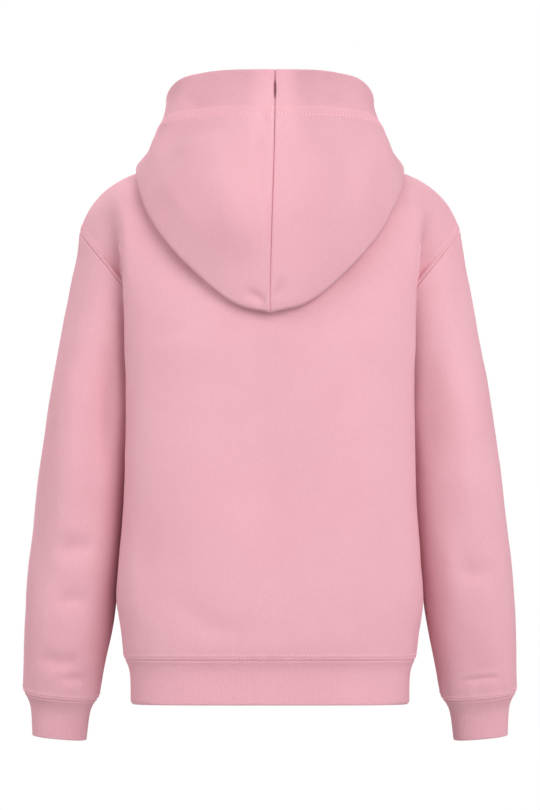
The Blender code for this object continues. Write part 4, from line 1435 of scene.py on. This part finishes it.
@dataclass
class Hood:
    """The two hood halves, joined along the centre, each with its face hem turned in."""

    finishes: Finishes
    form: HoodForm = HoodForm()
    thickness: float = 1.6
    coarse: float = 4.0
    seam_roll: float = 1.35
    hem_width: float = 49.5
    hem_gap: float = 1.95
    hem_rows: tuple[float, ...] = (0.0, 3.0, 8.0, 14.0, 20.0, 26.0, 32.0, 38.0, 44.0)
    column_zones: tuple[Zone, ...] = (Zone(0.0, 4.0, 0.6),)
    row_zones: tuple[Zone, ...] = (
        Zone(0.0, 4.0, 0.8), Zone(35.0, 52.0, 1.0, True), Zone(0.0, 3.0, 1.0, True)
    )
    # where out and round the hood the grid's columns and rows are spaced
    measured_out: float = 3.0
    measured_turn: float = 10.0
    stitch: CoverStitch = CoverStitch(rows=(38.6, 48.2), swell=0.35, groove=0.55, groove_width=1.3,
                                      beside_seam=False, lift=0.1)
    thread: Thread = Thread(pitch=3.6, gap=0.5, width=0.9, height=0.8)
    thread_lines: int = 5
    # how far up the cloth faces where creases begin to press it, and where they do so wholly
    upward: tuple[float, float] = (-0.55, -0.15)
    broad_swell: tuple[float, float] = (55.0, 1.5)
    fine_swell: tuple[float, float] = (20.0, 0.3)
    swell_rest: float = 22.0
    # the centre seam leans to the wearer's right, most behind and above, and gapes near its top
    lean: float = 5.2
    lean_heights: tuple[float, float] = (-158.0, 70.0)
    lean_depths: tuple[float, float] = (20.0, 60.0)
    lean_width: float = 50.0
    slit: float = 1.05
    slit_width: float = 3.0
    slit_opens: tuple[float, float] = (8.0, 14.0)
    slit_closes: tuple[float, float] = (25.0, 31.0)
    # the hem lies deeper behind the slit, so that it shows dark
    slit_slack: float = 3.4
    slack_width: float = 6.0
    # how deep the seam allowance's two rows lie, how much deeper below the hem, and how far the
    # left half's rows cross there under the right half
    allowance: tuple[tuple[float, float, float], ...] = ((0.6, 0.7, 0.0), (0.95, 2.25, 1.8))
    allowance_crosses: tuple[float, float] = (50.5, 54.0)
    left_creases: tuple[Crease, ...] = (
        # the broad crest that runs down toward the tip, and the cloth falling away outside it
        Crease(((70.0, 44.0), (62.0, 10.0), (44.0, -50.0), (19.0, -116.0)),
               -13.5, 46.0, 28.0, (0.35, 0.35)),
        Crease(((112.0, 46.0), (102.0, 10.0), (88.0, -28.0)), 5.0, 26.0, 20.0),
        Crease(((110.0, -8.0), (92.0, -50.0), (60.0, -92.0)), -2.0, 12.0, 12.0),
        Crease(((26.0, 40.0), (16.0, -10.0), (12.0, -84.0)), 3.8, 12.0, 9.0, (0.3, 0.5)),
        Crease(((12.0, 54.0), (9.0, 40.0), (9.0, 24.0)), 2.6, 4.0, 4.0),
        Crease(((27.0, -136.0), (17.0, -142.0), (4.0, -150.0)), 4.0, 4.5, 3.6, (0.5, 0.1)),
        Crease(((92.0, 72.0), (80.0, 58.0), (62.0, 50.0)), 2.1, 8.0, 8.0),
    )
    right_creases: tuple[Crease, ...] = (
        Crease(((-40.0, 40.0), (-36.0, -20.0), (-26.0, -84.0)), -4.0, 24.0, 16.0, (0.4, 0.5)),
        Crease(((-76.0, 34.0), (-84.0, -24.0), (-78.0, -72.0)), 2.8, 20.0, 20.0),
        Crease(((-108.0, 14.0), (-100.0, -34.0), (-84.0, -70.0)), -2.4, 12.0, 14.0),
        Crease(((-16.0, -124.0), (-10.0, -136.0), (-4.0, -146.0)), 2.7, 5.0, 5.0, (0.5, 0.1)),
        Crease(((-56.0, 70.0), (-66.0, 58.0), (-82.0, 52.0)), 2.1, 7.0, 7.0),
        Crease(((-14.0, 44.0), (-12.0, 34.0), (-13.0, 20.0)), 1.8, 5.0, 5.0),
    )
    front_creases: tuple[Crease, ...] = (
        Crease(((112.0, -20.0), (92.0, -28.0), (70.0, -40.0)), 1.8, 10.0, 10.0),
    )

    def grid(self, hand: Hand) -> Array:
        """Points of a hood half, from the neck seam to the face edge."""
        lap = 1.0 if hand is Hand.LEFT else 0.0
        turns = spaced(lambda t: self.form.point(t, np.full_like(t, self.measured_out), lap),
                       0.0, 180.0 + self.form.past_front, self.coarse, self.column_zones)
        outs = spaced(lambda o: self.form.point(np.full_like(o, self.measured_turn), o, lap),
                      0.0, self.form.face_edge, self.coarse, self.row_zones)
        points = self.form.point(turns[None, :], outs[:, None], lap)
        return points[:, ::-1] if hand is Hand.LEFT else mirrored(points)

    def cloth(self, hand: Hand) -> tuple[Cloth, Cloth]:
        """A half's creased cloth.

        Args:
            hand: which half.

        Returns:
            The cloth with its hem turned in, and the same before the hem.
        """
        cloth = Cloth(self.grid(hand))
        visible = smooth_step(cloth.normals[..., 2], *self.upward)
        before = cloth.points
        cloth.crease(self.left_creases if hand is Hand.LEFT else self.right_creases, Facing.BACK)
        cloth.crease(self.front_creases, Facing.FRONT)
        cloth.points = before + (cloth.points - before) * visible[..., None]
        cloth.unsettle(before, self.broad_swell, 11.0 + hand.value, self.swell_rest)
        cloth.unsettle(before, self.fine_swell, 13.0, self.swell_rest)
        face = cloth.from_edge[Edge.TOP]
        cloth.push(self.stitch.height(face))
        seam = Edge.END if hand is Hand.LEFT else Edge.START
        middle = cloth.from_edge[seam]
        lean = self.lean * smooth_step(cloth.points[..., 2], *self.lean_heights)
        lean = lean * smooth_step(cloth.points[..., 1], *self.lean_depths)
        lean = lean * np.exp(-((middle / self.lean_width) ** 2))
        cloth.points = cloth.points - vec(lean, 0.0, 0.0)
        flat = cloth.points
        cloth.roll(seam, self.seam_roll)
        cloth.roll(Edge.BOTTOM, self.seam_roll)
        gape = self.slit * self.opened(face) * np.exp(-((middle / self.slit_width) ** 2)) * hand.value
        cloth.points = cloth.points + vec(gape, 0.0, 0.0)
        return self.hemmed(hand, cloth, flat), cloth

    def opened(self, face: Array) -> Array:
        """How far the centre seam gapes at a distance from the face edge, from 0 to 1."""
        return smooth_step(face, *self.slit_opens) * (1.0 - smooth_step(face, *self.slit_closes))

    def hemmed(self, hand: Hand, cloth: Cloth, flat: Array) -> Cloth:
        """The cloth with its face hem and its centre seam's edge turned in.

        Args:
            hand: which half.
            cloth: the half.
            flat: its points before its seams were rolled, on which the hem lies.

        Returns:
            The cloth with the hem's rows added.
        """
        normals = cloth.find_normals()
        edge, inward, _ = cloth.edge_frame(Edge.TOP)
        radius = self.hem_gap / 2.0
        rows = []
        for angle in np.radians((36.0, 72.0, 108.0, 144.0)):
            rows.append(edge - inward * radius * math.sin(angle)
                        - normals[-1] * radius * (1.0 - math.cos(angle)))
        face = cloth.from_edge[Edge.TOP]
        seam = -1 if hand is Hand.LEFT else 0
        middle = cloth.from_edge[Edge.END if hand is Hand.LEFT else Edge.START]
        slack = self.slit_slack * np.exp(-((middle / self.slack_width) ** 2)) * self.opened(face)
        turned = flat - cloth.normals * (self.hem_gap + slack)[..., None]
        for far in (*self.hem_rows, self.hem_width):
            rows.append(np.array([read_along(turned[::-1, j], face[::-1, j], far)
                                  for j in range(face.shape[1])]))
        points = np.concatenate((cloth.points, np.array(rows)), axis=0)
        inward = -np.concatenate((cloth.normals, np.repeat(-cloth.normals[-1:], len(rows), axis=0)))
        under = np.zeros((len(points), 1))
        if hand is Hand.LEFT:
            under[:len(face), 0] = smooth_step(face[:, seam], *self.allowance_crosses)
        deep = [points[:, seam] + inward[:, seam] * (depth + deeper * under) - vec(cross, 0.0, 0.0) * under
                for depth, deeper, cross in self.allowance]
        if hand is Hand.LEFT:
            points = np.concatenate((points, np.stack(deep, axis=1)), axis=1)
        else:
            points = np.concatenate((np.stack(deep[::-1], axis=1), points), axis=1)
        return Cloth(points)

    def build(self) -> list[bpy.types.Object]:
        """Builds both halves and the hem's covering stitch.

        Returns:
            The pieces.
        """
        pieces = []
        for hand in Hand:
            side = hand.name.lower()
            hemmed, cloth = self.cloth(hand)
            piece = hemmed.build(f"hood_{side}_cloth", f"hood_{side}", "fleece", self.thickness,
                                 (self.finishes.face, self.finishes.inside))
            proud = self.thickness / 2.0 + self.stitch.lift
            lines = [cloth.line(Edge.TOP, far, proud)
                     for far in np.linspace(*self.stitch.rows, self.thread_lines)]
            rows = self.thread.zigzag(f"hood_{side}_hem_stitching", lines, "fleece",
                                      self.finishes.thread)
            hemmed.flat_area()
            pieces += [piece, rows]
        return pieces


@dataclass
class RibBands:
    """The hem band and cuffs: rib knit folded double, its fold downward."""

    finishes: Finishes
    body: BodyForm = BodyForm()
    sleeve: SleeveForm = SleeveForm()
    pitch: float = 2.5
    rise: float = 0.13
    cuff_rise: float = 0.26
    tuck: float = 2.4
    layer_gap: float = 1.25
    thickness: float = 1.05
    # both layers sink inward by this much at the seam, so that the cloth above laps over them: from
    # a little below the seam, and wholly a little above it
    sink: float = 1.5
    sink_starts: float = 1.2
    sink_ends: float = 0.6
    # the section's rows: in each layer, and in each of the shorter stretches at its ends
    layer_rows: int = 8
    end_rows: int = 6
    end_length: float = 6.0
    columns_per_rib: int = 4
    measured_above: float = 8.0
    # the hem band is drawn in at the garment's two sides, beside the fold
    corner: float = 4.8
    corner_share: float = 0.8
    corner_sides: tuple[float, float] = (110.0, 140.0)
    corner_ends: tuple[float, float] = (150.0, 160.0)

    def rounded(self, points: Array, bottom: float) -> Array:
        """A row of the band, drawn in at the garment's sides where it nears the fold."""
        depth = np.clip((bottom + self.corner - points[:, 2]) / self.corner, 0.0, 1.0)
        side = np.abs(points[:, 0])
        draw = self.corner * self.corner_share * (1.0 - np.sqrt(1.0 - depth**2))
        draw = draw * smooth_step(side, *self.corner_sides) * (1.0 - smooth_step(side, *self.corner_ends))
        return points - vec(np.sign(points[:, 0]) * draw, 0.0, 0.0)

    def section(self, top: float, bottom: float) -> list[tuple[float, float]]:
        """The band's folded section, from the inner layer's top round the fold to the outer top.

        Args:
            top: height of the seam.
            bottom: height of the fold.

        Returns:
            Height and offset outward of each row.
        """
        reach = self.layer_gap / 2.0
        floor = bottom + reach + self.thickness / 2.0
        high, low = top - self.end_length, floor + self.end_length
        heights = np.concatenate((np.linspace(top + self.tuck, high, self.end_rows + 1)[:-1],
                                  np.linspace(high, low, self.layer_rows),
                                  np.linspace(low, floor, self.end_rows)[1:]))
        rows = [(float(z), -reach) for z in heights]
        rows += [(floor - reach * math.sin(a), -reach * math.cos(a)) for a in np.radians((45, 90, 135))]
        rows += [(float(z), reach) for z in heights[::-1]]
        return rows

    def band(self, node: str, ring: Callable[[Array, Array], Array], levels: Table,
             rise: float) -> bpy.types.Object:
        """Builds one band.

        Args:
            node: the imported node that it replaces.
            ring: gives points of the band's middle at heights and turns, anticlockwise.
            levels: the band's table of rings, from its seam to its fold.
            rise: height of the ribs.

        Returns:
            The piece.
        """
        top, bottom = levels.ends()
        fine = np.linspace(0.0, 360.0, RING_SAMPLES)
        length = run_along(ring(np.full_like(fine, bottom + self.measured_above), fine))[-1]
        columns = self.columns_per_rib * round(length / self.pitch) + 1
        ribs = 0.5 + 0.5 * np.cos(np.arange(columns) * (math.tau / self.columns_per_rib))
        grid = []
        for z, offset in self.section(top, bottom):
            level = min(top, max(z, bottom))
            line = ring(np.full_like(fine, level), fine)
            run = run_along(line)
            turns = np.interp(np.linspace(0.0, run[-1], columns), run, fine)
            points = ring(np.full_like(turns, level), turns)
            points[:, 2] += z - level
            points = self.rounded(points, bottom)
            along = np.gradient(points, axis=0)
            along[[0, -1]] = points[1] - points[-2]
            out = unit(np.cross(along, np.array((0.0, 0.0, 1.0))))
            offset -= self.sink * float(smooth_step(z, top - self.sink_starts, top + self.sink_ends))
            grid.append(points + out * (offset + rise * ribs * np.sign(offset))[:, None])
        cloth = Cloth(np.array(grid), closed=True)
        piece = cloth.build(f"{node}_rib", node, "rib", self.thickness, (self.finishes.rib,))
        return piece

    def waist_ring(self, z: Array, turn: Array) -> Array:
        """Points of the hem band's middle."""
        return self.body.ring(self.body.band_levels, z, -turn)

    def left_ring(self, z: Array, turn: Array) -> Array:
        """Points of the left cuff's middle."""
        return self.sleeve.ring(self.sleeve.cuff_levels, z, turn)

    def right_ring(self, z: Array, turn: Array) -> Array:
        """Points of the right cuff's middle."""
        return mirrored(self.left_ring(z, 360.0 - turn))

    def build(self) -> list[bpy.types.Object]:
        """Builds the hem band and both cuffs.

        Returns:
            The pieces.
        """
        hem, cuff = self.body.band_levels, self.sleeve.cuff_levels
        return [
            self.band("waistband", self.waist_ring, hem, self.rise),
            self.band("cuff_left", self.left_ring, cuff, self.cuff_rise),
            self.band("cuff_right", self.right_ring, cuff, self.cuff_rise),
        ]


# The studio


@dataclass(frozen=True)
class Lamp:
    """A soft rectangular light."""

    name: str
    place: tuple[float, float, float]
    aim: tuple[float, float, float]
    size: tuple[float, float]
    power: float

    def build(self) -> None:
        """Adds the light."""
        data = bpy.data.lights.new(self.name, "AREA")
        data.shape = "RECTANGLE"
        data.size, data.size_y = self.size
        data.energy = self.power
        lamp = placed(self.name, data)
        lamp.location = self.place
        way = Vector(self.aim) - Vector(self.place)
        lamp.rotation_euler = way.to_track_quat("-Z", "Y").to_euler()


@dataclass(frozen=True)
class Studio:
    """A white floor and backdrop, soft lights and the camera straight behind the garment.

    Its sizes are in metres, and its lights' powers in watts.
    """

    floor_z: float = -0.80
    reach: float = 60.0
    # the paper turns to plain light between these distances from the garment
    fade: tuple[float, float] = (1.2, 3.2)
    # light from above and from below, which blend over this much rise of the direction either way
    above: float = 0.69
    below: float = 0.61
    meeting: float = 0.6
    sensor_mm: float = 24.0
    clip_end: float = 500.0
    camera_distance: float = 16.0
    view_height: float = 0.8505
    view_z: float = -0.2572
    lamps: tuple[Lamp, ...] = (
        Lamp("key", (-2.25, 3.75, 1.4), (0.0, 0.0, -0.3), (3.0, 3.0), 138.0),
        Lamp("fill", (3.4, 1.6, 1.4), (0.0, 0.0, -0.25), (1.8, 1.8), 45.0),
        Lamp("front", (0.9, -2.8, 2.4), (0.0, 0.0, -0.1), (1.8, 1.8), 80.0),
    )

    def paper(self) -> bpy.types.Material:
        """White studio paper, which runs out into plain white light with distance."""
        material = bpy.data.materials.new("white_studio_paper")
        tree = emptied(material)
        place = add(tree, "ShaderNodeTexCoord").outputs["Object"]
        away = add(tree, "ShaderNodeVectorMath", {0: place}, operation="LENGTH").outputs["Value"]
        fade = add(tree, "ShaderNodeMapRange", {"Value": away},
                   {"From Min": self.fade[0], "From Max": self.fade[1]},
                   interpolation_type="SMOOTHSTEP").outputs[0]
        grain = add(tree, "ShaderNodeTexNoise", {"Vector": place}, {"Scale": 300.0, "Detail": 2.0})
        bump = add(tree, "ShaderNodeBump", {"Height": grain.outputs["Fac"]},
                   {"Strength": 0.1, "Distance": 0.0003})
        paper = add(tree, "ShaderNodeBsdfPrincipled", {"Normal": bump.outputs["Normal"]},
                    {"Base Color": linear("fafafa"), "Roughness": 0.9})
        light = add(tree, "ShaderNodeEmission", None, {"Color": linear("ffffff"), "Strength": 1.0})
        both = add(tree, "ShaderNodeMixShader",
                   {0: fade, 1: paper.outputs["BSDF"], 2: light.outputs["Emission"]})
        add(tree, "ShaderNodeOutputMaterial", {"Surface": both.outputs["Shader"]})
        return material

    def room(self) -> bpy.types.World:
        """White light from all round, weaker from the floor's side."""
        world = bpy.data.worlds.new("studio")
        tree = emptied(world)
        way = add(tree, "ShaderNodeTexCoord").outputs["Generated"]
        height = add(tree, "ShaderNodeSeparateXYZ", {"Vector": way}).outputs["Z"]
        light = add(tree, "ShaderNodeMapRange", {"Value": height},
                    {"From Min": -self.meeting, "From Max": self.meeting,
                     "To Min": self.below, "To Max": self.above},
                    interpolation_type="SMOOTHSTEP").outputs[0]
        shader = add(tree, "ShaderNodeBackground", {"Strength": light}, {"Color": linear("ffffff")})
        add(tree, "ShaderNodeOutputWorld", {"Surface": shader.outputs["Background"]})
        return world

    def surrounds(self) -> None:
        """Adds the floor, and a white dome round it, which light nothing themselves."""
        paper = self.paper()
        floor = bmesh.new()
        bmesh.ops.create_grid(floor, x_segments=2, y_segments=2, size=self.reach)
        bmesh.ops.translate(floor, verts=floor.verts, vec=(0.0, 0.0, self.floor_z))
        dome = bmesh.new()
        bmesh.ops.create_uvsphere(dome, u_segments=48, v_segments=24, radius=self.reach)
        bmesh.ops.reverse_faces(dome, faces=dome.faces)
        for name, mesh in (("floor", floor), ("backdrop", dome)):
            piece = placed(name, mesh_data(name, mesh, (paper,)))
            piece.visible_diffuse = False
            piece.visible_glossy = False
            piece.visible_shadow = False

    def build(self) -> None:
        """Adds the surrounds, the lights and the camera."""
        self.surrounds()
        bpy.context.scene.world = self.room()
        for lamp in self.lamps:
            lamp.build()
        lens = bpy.data.cameras.new("camera")
        lens.sensor_fit = "VERTICAL"
        lens.sensor_height = self.sensor_mm
        lens.lens = self.sensor_mm * self.camera_distance / self.view_height
        lens.clip_end = self.clip_end
        camera = placed("camera", lens)
        camera.location = (0.0, self.camera_distance, self.view_z)
        camera.rotation_euler = (math.pi / 2.0, 0.0, math.pi)
        bpy.context.scene.camera = camera
        bpy.context.scene.view_settings.view_transform = "Standard"


def main() -> None:
    """Builds the garment's pieces in order, then the studio."""
    logging.basicConfig(level=logging.INFO, format="%(message)s")
    finishes = Finishes.make()
    for assembly in (BodyPanels(finishes), Sleeves(finishes), Hood(finishes), RibBands(finishes)):
        pieces = assembly.build()
        LOG.info("%s: %s", type(assembly).__name__, ", ".join(piece.name for piece in pieces))
    Studio().build()


if __name__ == "__main__":
    main()
